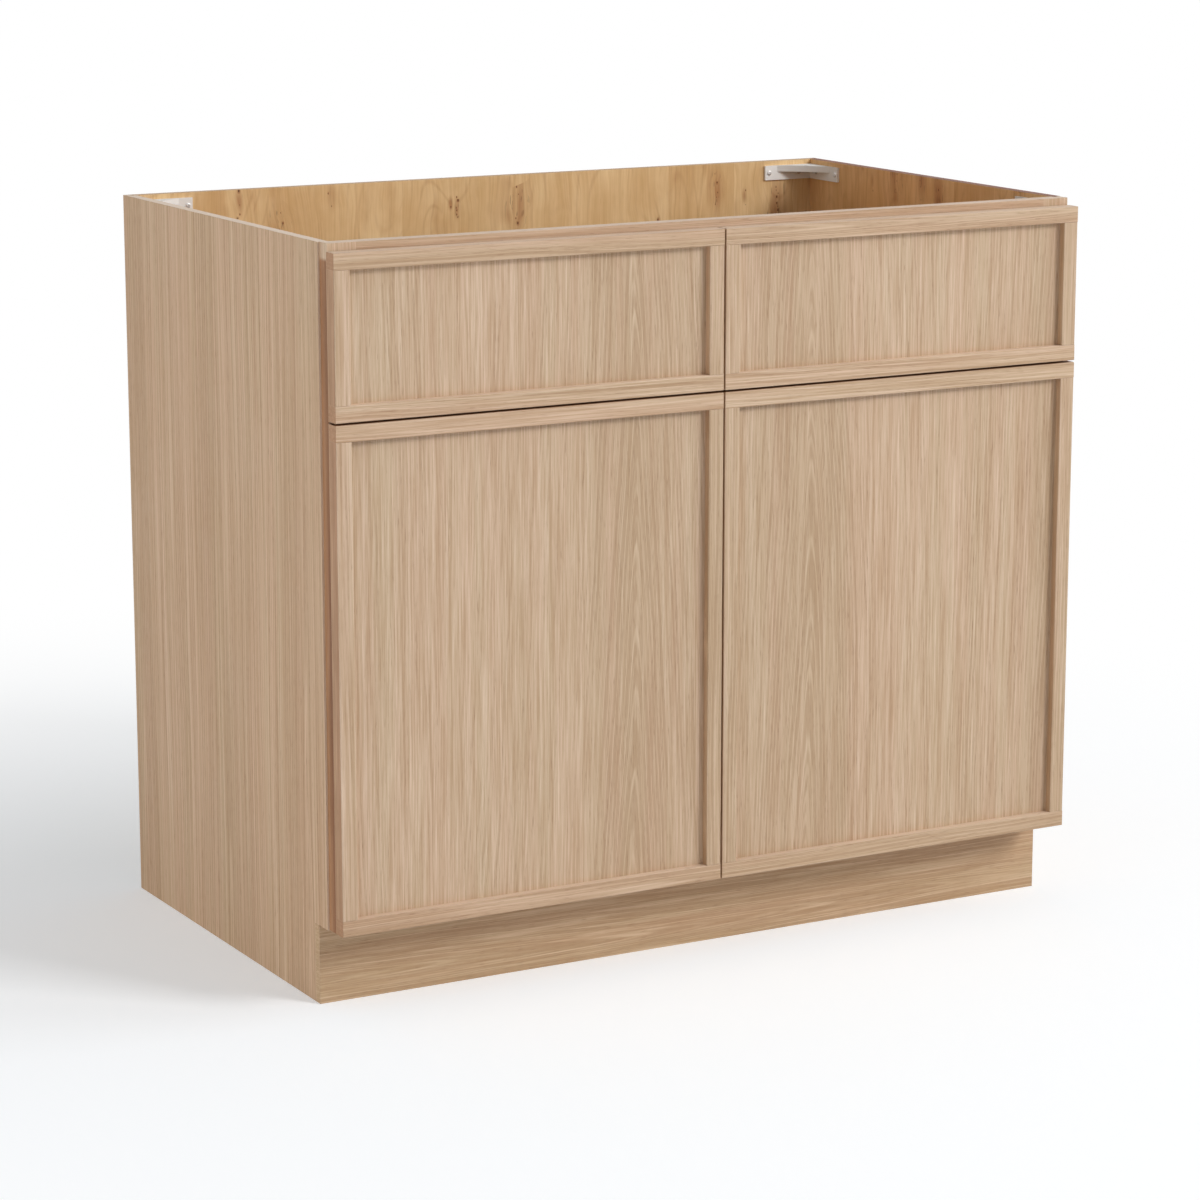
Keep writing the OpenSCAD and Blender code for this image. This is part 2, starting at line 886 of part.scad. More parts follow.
module hinge_cup() {
    hollow_r = cup_r - cup_wall;
    difference() {
        union() {
            rod_y([cup_u, -front_gap - cup_depth, 0], cup_depth, cup_r - joint_gap);
            block([flange_u - dowel_r, -front_gap, -dowel_z],
                  [flange_u + dowel_r, -front_gap + flange_t, dowel_z]);
            for (s = [-1, 1])
                rod_y([flange_u, -front_gap - dowel_l, s * dowel_z],
                      dowel_l + flange_t, dowel_r - joint_gap);
        }
        rod_y([cup_u, -front_gap - cup_depth + 1, 0], cup_depth + 2 * over, hollow_r);
    }
    reach = sqrt(cup_r * cup_r - pow(cup_u - cup_pin.x, 2)) - 0.4;
    rod_z([cup_pin.x, cup_pin.y, -reach], 2 * reach, link_pin_r);
}

module door_hinge_cups() {
    color(zinc) at_hinges() hinge_cup();
}

// The side of the link's bar at one bend of its path
function heading(i) = (link_path[i + 1] - link_path[i]) / norm(link_path[i + 1] - link_path[i]);
function left_of(v) = [-v.y, v.x];
function bend_vector(i) =
    i == 0 ? left_of(heading(0)) :
    i == len(link_path) - 1 ? left_of(heading(i - 1)) :
    let (sum = left_of(heading(i - 1)) + left_of(heading(i))) 2 * sum / (sum * sum);
function bar_side(s) = [for (i = [0:len(link_path) - 1]) link_path[i] + s * link_t / 2 * bend_vector(i)];
function backwards(list) = [for (i = [len(list) - 1:-1:0]) list[i]];

module hinge_link() {
    difference() {
        translate([0, 0, -link_h / 2]) linear_extrude(link_h) {
            polygon(concat(bar_side(1), backwards(bar_side(-1))));
            for (pin = [arm_pin, cup_pin]) translate(pin) circle(r = eye_r);
        }
        for (pin = [arm_pin, cup_pin])
            rod_z([pin.x, pin.y, -link_h / 2 - over], link_h + 2 * over, link_pin_r + pin_gap);
    }
}

module hinge_links() {
    color(zinc) at_hinges() hinge_link();
}

// The side of the arm that holds the link's pin
module cheek_shape() {
    polygon([[edge_u, plate_v[0] + 0.5], [arm_pin.x, arm_pin.y - eye_r],
             [arm_pin.x + eye_r, arm_pin.y], [arm_pin.x, web_v[1]], [edge_u, web_v[1]]]);
    translate(arm_pin) circle(r = eye_r);
}

module hinge_plate() {
    difference() {
        union() {
            block([edge_u, plate_v[0], -plate_h / 2], [edge_u + plate_t, plate_v[1], plate_h / 2]);
            for (z = [-cheek_gap - cheek_t, cheek_gap])
                translate([0, 0, z]) linear_extrude(cheek_t) cheek_shape();
            block([edge_u, web_v[0], -cheek_gap - over], [arm_pin.x, web_v[1], cheek_gap + over]);
        }
        for (s = [-1, 1])
            rod_x([edge_u - over, plate_screw_v, s * plate_screw_z], plate_t + 2 * over, screw_r);
    }
    rod_z([arm_pin.x, arm_pin.y, -cheek_gap - cheek_t], 2 * (cheek_gap + cheek_t), link_pin_r);
}

module hinge_plate_shanks() {
    at_hinges() for (s = [-1, 1])
        rod_x([edge_u - bite, plate_screw_v, s * plate_screw_z], bite + over, screw_r);
}

module hinge_plates() {
    color(zinc) pair() at_hinges() hinge_plate();
}

// The cabinet itself
side_panel();  // side_panel_left
mirror([1, 0, 0]) side_panel();  // side_panel_right
back_panel();
floor_panel();
frame_stile();  // frame_stile_left
mirror([1, 0, 0]) frame_stile();  // frame_stile_right
frame_top_rail();
frame_middle_rail();
frame_bottom_rail();
frame_mullion();
toe_kick_board();
toe_kick_skin();
corner_bracket_front();  // corner_bracket_front_left
mirror([1, 0, 0]) corner_bracket_front();  // corner_bracket_front_right
corner_bracket_rear();  // corner_bracket_rear_left
mirror([1, 0, 0]) corner_bracket_rear();  // corner_bracket_rear_right
corner_bracket_screws();
shelf();
shelf_pins();
frame_bumpers();
runner_channels();  // left_runner_channels
mirror([1, 0, 0]) runner_channels();  // right_runner_channels
runner_rear_brackets();
fixing_screws();
hinge_plates();
runner_middles();  // left_runner_middles
mirror([1, 0, 0]) runner_middles();  // right_runner_middles
hinge_links();  // left_hinge_links
mirror([1, 0, 0]) hinge_links();  // right_hinge_links

// The left drawer
drawer_front_rails();  // left_drawer_front_rails
drawer_front_stiles();  // left_drawer_front_stiles
drawer_front_panel();  // left_drawer_front_panel
drawer_box_front();  // left_drawer_box_front
drawer_box_back();  // left_drawer_box_back
drawer_box_sides();  // left_drawer_box_sides
drawer_box_bottom();  // left_drawer_box_bottom
runner_slides();  // left_drawer_slides
drawer_screws();  // left_drawer_screws

// The right drawer
mirror([1, 0, 0]) drawer_front_rails();  // right_drawer_front_rails
mirror([1, 0, 0]) drawer_front_stiles();  // right_drawer_front_stiles
mirror([1, 0, 0]) drawer_front_panel();  // right_drawer_front_panel
mirror([1, 0, 0]) drawer_box_front();  // right_drawer_box_front
mirror([1, 0, 0]) drawer_box_back();  // right_drawer_box_back
mirror([1, 0, 0]) drawer_box_sides();  // right_drawer_box_sides
mirror([1, 0, 0]) drawer_box_bottom();  // right_drawer_box_bottom
mirror([1, 0, 0]) runner_slides();  // right_drawer_slides
mirror([1, 0, 0]) drawer_screws();  // right_drawer_screws

// The doors
door_top_rail();  // left_door_top_rail
door_bottom_rail();  // left_door_bottom_rail
door_hinge_stile();  // left_door_hinge_stile
door_meeting_stile();  // left_door_meeting_stile
door_panel();  // left_door_panel
door_hinge_cups();  // left_door_hinge_cups
mirror([1, 0, 0]) door_top_rail();  // right_door_top_rail
mirror([1, 0, 0]) door_bottom_rail();  // right_door_bottom_rail
mirror([1, 0, 0]) door_hinge_stile();  // right_door_hinge_stile
mirror([1, 0, 0]) door_meeting_stile();  // right_door_meeting_stile
mirror([1, 0, 0]) door_panel();  // right_door_panel
mirror([1, 0, 0]) door_hinge_cups();  // right_door_hinge_cups
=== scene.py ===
import math

import bmesh
import bpy
import numpy as np
from mathutils import Matrix, Vector


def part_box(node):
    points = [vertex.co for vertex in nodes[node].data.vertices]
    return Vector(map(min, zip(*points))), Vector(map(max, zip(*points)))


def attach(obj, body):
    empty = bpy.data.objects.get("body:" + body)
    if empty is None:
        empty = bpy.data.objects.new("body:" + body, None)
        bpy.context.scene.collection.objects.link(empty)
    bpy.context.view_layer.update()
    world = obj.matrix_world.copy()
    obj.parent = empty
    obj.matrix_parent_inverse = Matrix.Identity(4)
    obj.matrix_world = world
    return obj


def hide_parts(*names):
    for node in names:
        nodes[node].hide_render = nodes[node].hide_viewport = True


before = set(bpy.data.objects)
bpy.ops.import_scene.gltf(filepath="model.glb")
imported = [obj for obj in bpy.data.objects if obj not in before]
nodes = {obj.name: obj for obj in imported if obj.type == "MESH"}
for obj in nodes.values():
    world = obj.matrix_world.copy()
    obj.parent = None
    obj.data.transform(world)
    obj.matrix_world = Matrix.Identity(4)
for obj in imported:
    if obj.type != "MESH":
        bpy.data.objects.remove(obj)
scene = bpy.context.scene
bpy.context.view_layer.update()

MM = 0.001
SIDES = ("left", "right")
WHITE = (1.0, 1.0, 1.0, 1.0)


# ---------------------------------------------------------------- shader helpers


class Tree:
    """Short names for building a node tree. A value is a number, a colour, an object or another node's output."""

    def __init__(self, tree):
        self.tree = tree

    def put(self, socket, value):
        if isinstance(value, bpy.types.NodeSocket):
            self.tree.links.new(value, socket)
        else:
            socket.default_value = value

    def put_all(self, sockets, values):
        for socket, value in zip(sockets, values):
            self.put(socket, value)

    def new(self, kind, values=None, **settings):
        node = self.tree.nodes.new(kind)
        for name, setting in settings.items():
            setattr(node, name, setting)
        for name, value in (values or {}).items():
            self.put(node.inputs[name], value)
        return node

    def math(self, operation, *values, clamp=False):
        node = self.new("ShaderNodeMath", operation=operation, use_clamp=clamp)
        self.put_all(node.inputs, values)
        return node.outputs[0]

    def add(self, a, b, clamp=False):
        return self.math("ADD", a, b, clamp=clamp)

    def sub(self, a, b):
        return self.math("SUBTRACT", a, b)

    def mul(self, a, b, clamp=False):
        return self.math("MULTIPLY", a, b, clamp=clamp)

    def div(self, a, b):
        return self.math("DIVIDE", a, b)

    def abs(self, a):
        return self.math("ABSOLUTE", a)

    def floor(self, a):
        return self.math("FLOOR", a)

    def fract(self, a):
        return self.math("FRACT", a)

    def most(self, a, b):
        return self.math("MAXIMUM", a, b)

    def above(self, a, b):
        """1 where a is greater than b, and 0 elsewhere."""
        return self.math("GREATER_THAN", a, b)

    def swing(self, value, amount, middle=0.5):
        """How far a value is from its middle, times an amount."""
        return self.mul(self.sub(value, middle), amount)

    def vec(self, operation, *values):
        node = self.new("ShaderNodeVectorMath", operation=operation)
        self.put_all(node.inputs, values)
        return node.outputs["Value" if operation in ("DOT_PRODUCT", "LENGTH") else "Vector"]

    def xyz(self, *values):
        node = self.new("ShaderNodeCombineXYZ")
        self.put_all(node.inputs, values)
        return node.outputs[0]

    def parts(self, vector):
        return self.new("ShaderNodeSeparateXYZ", {0: vector}).outputs

    def scaled(self, parts, scales):
        return self.xyz(*(self.mul(part, scale) for part, scale in zip(parts, scales)))

    def length(self, u, v):
        return self.vec("LENGTH", self.xyz(u, v, 0.0))

    def surface(self):
        """Where a point is on its node, and the way its face looks."""
        spot = self.new("ShaderNodeTexCoord").outputs
        return spot["Object"], spot["Normal"]

    def chance(self, number):
        """A random value for each whole number."""
        return self.new("ShaderNodeTexWhiteNoise", {"W": number}, noise_dimensions="1D").outputs["Value"]

    def noise(self, place, scale=1.0, detail=2.0, rough=0.5):
        values = {"Vector": place, "Scale": scale, "Detail": detail, "Roughness": rough}
        return self.new("ShaderNodeTexNoise", values).outputs["Fac"]

    def drawn(self, grain, across, along, detail=2.0, rough=0.5):
        """Noise drawn out along the grain, with so many patches to a metre across and along it."""
        return self.noise(self.scaled(grain, (across, across, along)), 1.0, detail, rough)

    def ramp(self, value, low, high, at_low=0.0, at_high=1.0, kind="SMOOTHSTEP"):
        values = {"Value": value, "From Min": low, "From Max": high, "To Min": at_low, "To Max": at_high}
        return self.new("ShaderNodeMapRange", values, interpolation_type=kind).outputs[0]

    def mix(self, amount, a, b, blend="MIX"):
        node = self.new("ShaderNodeMix", {0: amount, 6: a, 7: b}, data_type="RGBA", blend_type=blend)
        return node.outputs[2]

    def tinted(self, colour, tint):
        """A colour times a tint, which is three numbers or another node's output."""
        by = tint if isinstance(tint, bpy.types.NodeSocket) else (*tint, 1.0)
        return self.mix(1.0, colour, by, "MULTIPLY")

    def shown(self):
        """1 for rays that show a surface as it looks, and 0 for those that only carry its light."""
        path = self.new("ShaderNodeLightPath").outputs
        return self.most(path["Is Camera Ray"], self.most(path["Is Glossy Ray"], path["Is Transmission Ray"]))


FLOAT, VECTOR = "NodeSocketFloat", "NodeSocketVector"


def group(name, inputs, outputs):
    """A shader node group, its tree helper, and the sockets of its inputs and outputs."""
    made = bpy.data.node_groups.new(name, "ShaderNodeTree")
    for label, kind, default in inputs:
        socket = made.interface.new_socket(label, in_out="INPUT", socket_type=kind)
        if default is not None:
            socket.default_value = default
    for label, kind in outputs:
        made.interface.new_socket(label, in_out="OUTPUT", socket_type=kind)
    t = Tree(made)
    return made, t, t.new("NodeGroupInput").outputs, t.new("NodeGroupOutput").inputs


def use(t, made, values=None):
    return t.new("ShaderNodeGroup", values, node_tree=made).outputs


def srgb(r, g, b):
    """A colour from its red, green and blue on the screen, 0 to 255."""
    parts = [part / 255 for part in (r, g, b)]
    return (*(p / 12.92 if p <= 0.04045 else ((p + 0.055) / 1.055) ** 2.4 for p in parts), 1.0)


# ---------------------------------------------------------------- shared effects

# How far a board's seed moves its figure: across it, into it and along it
SEED_STEP = (0.731, 0.137, 1.913)


def board_group():
    """Where a point lies on its board, as across the grain, into the board and along the grain; and its ends."""
    made, t, given, out = group(
        "Board",
        [("Along X", FLOAT, 0.0), ("Along Y", FLOAT, 0.0), ("Side", FLOAT, 0.0), ("Seed", FLOAT, 0.0)],
        [("Place", VECTOR), ("End", FLOAT)],
    )
    along_x, along_y = given["Along X"], given["Along Y"]
    place, normal = t.surface()
    x, y, z = t.parts(place)
    upright, side, lying, deep = t.xyz(x, y, z), t.xyz(y, x, z), t.xyz(z, y, x), t.xyz(x, z, y)

    def pick(chosen, other, this):
        return t.new("ShaderNodeMix", {0: chosen, 4: other, 5: this}, data_type="VECTOR").outputs[1]

    turned_place = pick(along_y, pick(along_x, pick(given["Side"], upright, side), lying), deep)
    shift = t.xyz(*(t.mul(given["Seed"], step) for step in SEED_STEP))
    t.put(out["Place"], t.vec("ADD", turned_place, shift))

    looks_x, looks_y, looks_z = t.parts(t.vec("ABSOLUTE", normal))
    along_z = t.mul(t.sub(1.0, along_x), t.sub(1.0, along_y))
    end = t.add(t.mul(looks_x, along_x), t.add(t.mul(looks_y, along_y), t.mul(looks_z, along_z)))
    t.put(out["End"], t.ramp(end, 0.6, 0.8))
    return made


# Noise of the oak, drawn out along its grain: patches to a metre across and along it, then detail and roughness
OAK_NOISE = {
    "slow sway": (5.0, 1.1),
    "fine sway": (40.0, 5.0),
    "streak": (62.0, 1.6, 3.0, 0.6),
    "broad": (11.0, 0.9, 2.0, 0.5),
    "mid": (230.0, 2.6, 3.0, 0.55),
    "fibre": (620.0, 8.0, 3.0, 0.6),
    "gate": (150.0, 4.0, 2.0, 0.5),
    "pore": (1450.0, 60.0, 1.0),
    "hue": (34.0, 1.4, 3.0, 0.6),
}
OAK_TONE = (("streak", 0.2), ("broad", 0.08), ("mid", 1.0), ("fibre", 1.5))
SLOW_SWAY, FINE_SWAY, SWAY_OF_STREAKS = 40.0 * MM, 4.5 * MM, 0.35
# How far a heart lies off its leaf's middle, where it fades out, and how round its arch is
HEART_OFF, HEART_IN, HEART_OUT, HEART_BOW = 90.0 * MM, 25.0 * MM, 85.0 * MM, 0.00004
# How fast the rings open along the board, least and more by chance, and how far they jump from leaf to leaf
TAPER, MORE_TAPER, LEAF_STEP = 0.008, 0.012, 0.0317
THIN_LINES, BAND_SHARE, THIN_SHARE = 2.63, 0.68, 0.32


def oak_group():
    """Veneer oak: leaves of straight grain, with a long narrow arch of rings near the middle of each leaf."""
    made, t, given, out = group(
        "Oak grain",
        [
            ("Place", VECTOR, None),
            ("Leaf", FLOAT, 0.24),
            ("Pitch", FLOAT, 0.0058),
            ("Arch", FLOAT, 1.0),
            ("Run", FLOAT, 1.0),
            ("Depth", FLOAT, 1.0),
        ],
        [("Tone", FLOAT), ("Line", FLOAT), ("Pore", FLOAT), ("Hue", FLOAT), ("Height", FLOAT)],
    )
    across, into, along = grain = t.parts(given["Place"])
    slow = t.drawn(grain, *OAK_NOISE["slow sway"])
    fine = t.drawn(grain, *OAK_NOISE["fine sway"])
    sway = t.add(t.swing(slow, SLOW_SWAY), t.swing(fine, FINE_SWAY))

    # Each leaf has its heart near its middle, and the rings are counted from there
    leaf = t.div(across, given["Leaf"])
    index = t.floor(leaf)
    within = t.add(t.swing(t.fract(leaf), given["Leaf"]), sway)
    lean = t.chance(index)
    off_heart = t.sub(within, t.swing(lean, HEART_OFF))
    heart = t.ramp(t.abs(off_heart), HEART_IN, HEART_OUT, 1.0, 0.0)
    bow = t.math("SQRT", t.add(t.mul(off_heart, off_heart), HEART_BOW))
    taper = t.mul(t.mul(along, t.add(TAPER, t.mul(lean, MORE_TAPER))), given["Arch"])
    ring = t.div(t.add(t.add(bow, taper), t.mul(index, LEAF_STEP)), given["Pitch"])

    # A dark band for each ring, stronger or weaker by chance, and thin lines between the bands
    inside = t.fract(ring)
    band = t.mul(t.ramp(inside, 0.0, 0.35), t.ramp(inside, 0.62, 1.0, 1.0, 0.0))
    band = t.mul(band, t.ramp(t.chance(t.floor(ring)), 0.1, 1.0, 0.25, 1.0))
    between = t.fract(t.mul(ring, THIN_LINES))
    thin = t.mul(t.ramp(between, 0.0, 0.3), t.ramp(between, 0.5, 1.0, 1.0, 0.0))
    line = t.add(t.mul(band, BAND_SHARE), t.mul(thin, THIN_SHARE))

    # Streaks and fibres follow a part of the sway, and break up the lines
    swayed = (t.add(across, t.mul(sway, SWAY_OF_STREAKS)), into, t.mul(along, given["Run"]))
    part = {name: t.drawn(swayed, *OAK_NOISE[name]) for name in ("streak", "broad", "mid", "fibre", "gate")}
    line = t.mul(line, t.ramp(part["broad"], 0.3, 0.65, 0.6, 1.15))
    line = t.mul(line, t.ramp(part["gate"], 0.36, 0.6, 0.45, 1.2))
    tone = None
    for name, amount in OAK_TONE:
        swung = t.swing(part[name], amount)
        tone = t.add(tone, swung) if tone else swung

    # In the heart the lines are stronger and the streaks quieter
    line = t.mul(t.mul(line, t.add(0.8, heart)), given["Depth"])
    tone = t.mul(t.mul(tone, t.sub(1.0, t.mul(heart, 0.4))), given["Depth"])
    pore = t.drawn(grain, *OAK_NOISE["pore"])
    pore = t.mul(t.ramp(pore, 0.6, 0.72), t.ramp(line, 0.1, 0.6, 0.35, 1.0))
    t.put(out["Hue"], t.ramp(t.drawn(grain, *OAK_NOISE["hue"]), 0.34, 0.66))
    t.put(out["Tone"], t.add(tone, 0.5, clamp=True))
    t.put(out["Line"], t.mul(line, 1.0, clamp=True))
    t.put(out["Pore"], pore)
    t.put(out["Height"], t.sub(t.sub(t.mul(part["fibre"], 0.4), t.mul(line, 0.35)), t.mul(pore, 0.8)))
    return made


# Noise of the plywood. The patches are about as wide as they are high, and the rest is drawn out along the grain
PLY_PATCHES = {"bend": (16.0, 9.0), "cloud": (26.0, 15.0, 3.0, 0.55), "loop": (9.0, 2.8, 1.0), "crowd": (4.0, 2.6)}
PLY_NOISE = {
    "broad": (9.0, 1.6, 3.0, 0.6),
    "streak": (80.0, 3.6, 4.0, 0.66),
    "fibre": (520.0, 11.0),
    "blot": (40.0, 8.0, 4.0, 0.65),
    "vein": (230.0, 7.0),
    "dash": (420.0, 60.0, 1.0),
}
PLY_TONE = (("cloud", 0.42), ("streak", 0.3), ("broad", 0.3), ("fibre", 0.25))
STRIP_W, STRIP_TONE, BEND, LOOPS = 85.0 * MM, 0.12, 30.0 * MM, 15.0
# Rows of pin knots to a metre across and along the grain, and the same for single knots
ROWS, SINGLES = (19.0, 9.0), (5.2, 4.3)
# Pairs of a least size and how much more there is by chance
ROW_PITCH, ROW_REACH, PIN_R = (4.0 * MM, 6.0 * MM), (8.0 * MM, 30.0 * MM), (0.3 * MM, 0.8 * MM)
FEATHER, KNOT_R, PIN_ASIDE, PIN_RAGGED = (5.0 * MM, 34.0 * MM), 1.8 * MM, 6.0 * MM, 0.6 * MM
TINY = 0.1 * MM


def ply_group():
    """Knotty veneer of the plywood: upright strips, brown feather marks, rows of pin knots and single knots."""
    made, t, given, out = group(
        "Knotty plywood",
        [("Place", VECTOR, None), ("Strip", FLOAT, STRIP_W)],
        [("Tone", FLOAT), ("Red", FLOAT), ("Knot", FLOAT), ("Height", FLOAT)],
    )
    across, into, along = t.parts(given["Place"])
    values = {"W": t.div(across, given["Strip"]), "Scale": 1.0, "Randomness": 0.85}
    strip = t.new("ShaderNodeTexVoronoi", values, voronoi_dimensions="1D").outputs["Color"]
    shade, other = t.parts(strip)[:2]
    deep = t.add(into, other)

    def patches(over, up, detail=2.0, rough=0.5):
        return t.noise(t.xyz(t.mul(across, over), deep, t.mul(along, up)), 1.0, detail, rough)

    def cells(over, up):
        """How far a point is from its cell's middle, across and along, and the cell's three random values."""
        values = {"Vector": t.xyz(t.mul(across, over), t.mul(along, up), 0.0), "Scale": 1.0}
        cell = t.new("ShaderNodeTexVoronoi", values, voronoi_dimensions="2D").outputs
        x, y = t.parts(cell["Position"])[:2]
        return t.sub(across, t.div(x, over)), t.sub(along, t.div(y, up)), t.parts(cell["Color"])

    bent = (t.add(across, t.swing(patches(*PLY_PATCHES["bend"]), BEND)), deep, along)
    part = {name: t.drawn(bent, *size) for name, size in PLY_NOISE.items()}
    part["cloud"] = patches(*PLY_PATCHES["cloud"])
    loop = t.fract(t.mul(patches(*PLY_PATCHES["loop"]), LOOPS))

    # Rows of pin knots one above the other, each knot of its own size and a little out of line
    beside, up, (row_1, row_2, row_3) = cells(*ROWS)
    pitch = t.add(ROW_PITCH[0], t.mul(row_1, ROW_PITCH[1]))
    step = t.div(up, pitch)
    values = {"Vector": t.xyz(t.floor(step), t.mul(row_2, 91.0), 0.0)}
    each = t.new("ShaderNodeTexWhiteNoise", values, noise_dimensions="2D").outputs["Color"]
    pin_1, pin_2, pin_3 = t.parts(each)
    pin_up = t.mul(t.add(t.sub(t.fract(step), 0.5), t.swing(pin_3, 0.8, 0.7)), pitch)
    pin_beside = t.sub(beside, t.swing(pin_1, PIN_ASIDE))
    ragged = t.swing(t.noise(given["Place"], 700.0), PIN_RAGGED)
    away = t.add(t.length(pin_beside, t.mul(pin_up, 0.62)), ragged)
    radius = t.add(PIN_R[0], t.mul(t.mul(pin_2, pin_2), PIN_R[1]))
    pin = t.ramp(away, t.mul(radius, 0.5), t.mul(radius, 1.5), 1.0, 0.0)
    stain_and_shade = t.ramp(away, t.mul(radius, 0.8), t.mul(radius, 3.2), 0.8, 0.0)

    # The rows come in crowds, and a brown feather mark lies round each row
    crowded = t.above(t.add(row_2, t.swing(patches(*PLY_PATCHES["crowd"]), 2.0)), 0.4)
    reach = t.add(ROW_REACH[0], t.mul(row_3, ROW_REACH[1]))
    here = t.mul(t.math("LESS_THAN", t.abs(up), reach), t.mul(t.above(pin_3, 0.4), crowded))
    spread = t.add(FEATHER[0], t.mul(t.mul(row_3, row_3), FEATHER[1]))
    feather = t.mul(t.ramp(t.length(beside, t.mul(up, 0.4)), 0.0, spread, 1.0, 0.0), crowded)

    # Single knots with a brown ring
    beside, up, chances = cells(*SINGLES)
    size = t.mul(t.ramp(chances[0], 0.4, 1.0, 0.0, 1.0), KNOT_R)
    knot = t.ramp(t.length(beside, t.mul(up, 0.7)), t.mul(size, 0.5), t.add(size, 3 * TINY), 1.0, 0.0)
    knot = t.mul(knot, t.above(chances[0], 0.45))
    halo = t.ramp(t.length(beside, t.mul(up, 0.35)), 0.0, t.add(t.mul(size, 7.0), TINY), 0.9, 0.0)

    marks = t.most(feather, halo)
    red = t.add(t.mul(marks, t.ramp(part["streak"], 0.35, 0.6)), t.ramp(part["blot"], 0.52, 0.75, 0.0, 0.3))
    red = t.add(red, t.ramp(part["vein"], 0.56, 0.7, 0.0, 0.2))
    looped = t.ramp(t.abs(t.sub(loop, 0.5)), 0.0, 0.16, 0.26, 0.0)
    red = t.add(red, t.mul(looped, t.ramp(part["cloud"], 0.4, 0.6)))
    dash = t.mul(t.ramp(part["dash"], 0.62, 0.72, 0.0, 0.45), t.ramp(marks, 0.15, 0.6))
    dark = t.most(t.most(t.mul(pin, here), knot), dash)
    tone = t.swing(shade, STRIP_TONE)
    for name, amount in PLY_TONE:
        tone = t.add(tone, t.swing(part[name], amount))
    t.put(out["Tone"], t.add(tone, 0.5, clamp=True))
    t.put(out["Red"], t.add(red, t.mul(stain_and_shade, here), clamp=True))
    t.put(out["Knot"], dark)
    t.put(out["Height"], t.sub(t.mul(part["fibre"], 0.5), t.mul(dark, 0.1)))
    return made


def edge_group():
    """Worn edges: a mask that is 1 on sharp outer edges, broken up by noise, and a rounded normal."""
    made, t, given, out = group("Edges", [("Radius", FLOAT, 0.6 * MM)], [("Mask", FLOAT), ("Normal", VECTOR)])
    rounded = t.new("ShaderNodeBevel", {"Radius": given["Radius"]}, samples=4).outputs["Normal"]
    true = t.new("ShaderNodeNewGeometry").outputs["True Normal"]
    place, normal = t.surface()
    broken = t.ramp(t.noise(place, 45.0, 3.0, 0.6), 0.35, 0.6, 0.35, 1.0)
    t.put(out["Mask"], t.mul(t.ramp(t.vec("DOT_PRODUCT", rounded, true), 0.995, 0.85), broken))
    t.put(out["Normal"], rounded)
    return made


# Where a face's normal counts as looking up
LOOKS_UP = (0.6, 0.95)


def wear_group():
    """Handling: faint smudges that change the roughness, and a little dust on faces that look up."""
    made, t, given, out = group(
        "Handling",
        [("Scale", FLOAT, 9.0)],
        [("Smudge", FLOAT), ("Dust", FLOAT), ("Up", FLOAT)],
    )
    place, normal = t.surface()
    cloud = t.noise(place, given["Scale"], 4.0, 0.6)
    spot = t.noise(place, t.mul(given["Scale"], 14.0), 3.0, 0.6)
    up = t.ramp(t.parts(normal)[2], *LOOKS_UP)
    t.put(out["Smudge"], t.add(t.mul(cloud, 0.7), t.mul(spot, 0.3)))
    t.put(out["Dust"], t.mul(up, t.ramp(spot, 0.45, 0.7)))
    t.put(out["Up"], up)
    return made


BOARD, OAK, PLY, EDGE, WEAR = board_group(), oak_group(), ply_group(), edge_group(), wear_group()


# ---------------------------------------------------------------- kinds of material

OAK_PALE, OAK_DEEP, OAK_LINE = srgb(223, 198, 173), srgb(190, 159, 128), srgb(168, 134, 102)
OAK_PORE, OAK_END = srgb(140, 103, 72), srgb(196, 164, 128)
OAK_WARM, OAK_COOL = (1.012, 0.988, 0.985, 1.0), (0.99, 1.006, 0.985, 1.0)
# The first colour here is painted light for faces that look up
PAINTED_TOP_LIGHT, OAK_WORN, DUST = srgb(238, 216, 194), srgb(232, 212, 188), srgb(235, 230, 222)
PLY_PALE, PLY_DEEP, PLY_RED = srgb(254, 224, 176), srgb(212, 169, 114), srgb(158, 90, 38)
PLY_KNOT, LAYER_PALE, LAYER_DEEP = srgb(82, 36, 10), srgb(214, 180, 134), srgb(164, 120, 78)
LAYER_SPECK, LAYER_PAIR = srgb(120, 84, 52), 3.6 * MM
PALE_TAPE = (srgb(204, 178, 152), srgb(226, 204, 182))
BROWN_TAPE = (srgb(104, 50, 16), srgb(130, 72, 30))

# Tints multiply a wood's colour
# The inner tint is partly the plywood's own colour and partly painted shade on the sides' inner faces
PLAIN, SIDE_TINT, INNER_TINT_AND_SHADE = (1.0, 1.0, 1.0), (1.0, 0.965, 0.90), (0.945, 0.825, 0.715)
FRONT_TINT, RAIL_TINT = (0.955, 0.965, 0.965), (0.975, 0.96, 0.95)
TOE_TINT, BACK_TINT = (0.965, 0.94, 0.87), (0.93, 0.915, 0.875)
# Painted shade on the frame's flank where the fronts overhang it, at its front edge and at its back edge
PAINTED_FLANK_SHADE, PAINTED_FLANK_SHADE_BEHIND = (0.36, 0.205, 0.105), (0.68, 0.48, 0.345)
# Painted shade on the fronts' stiles in the recess and outside, on the rails' ends, and in the gap over a door
PAINTED_RECESS_SHADE, PAINTED_OUTER_EDGE_SHADE = (0.90, 0.81, 0.73), (0.86, 0.765, 0.71)
PAINTED_RAIL_END_SHADE, PAINTED_GAP_SHADE = (0.77, 0.63, 0.54), (0.52, 0.33, 0.205)
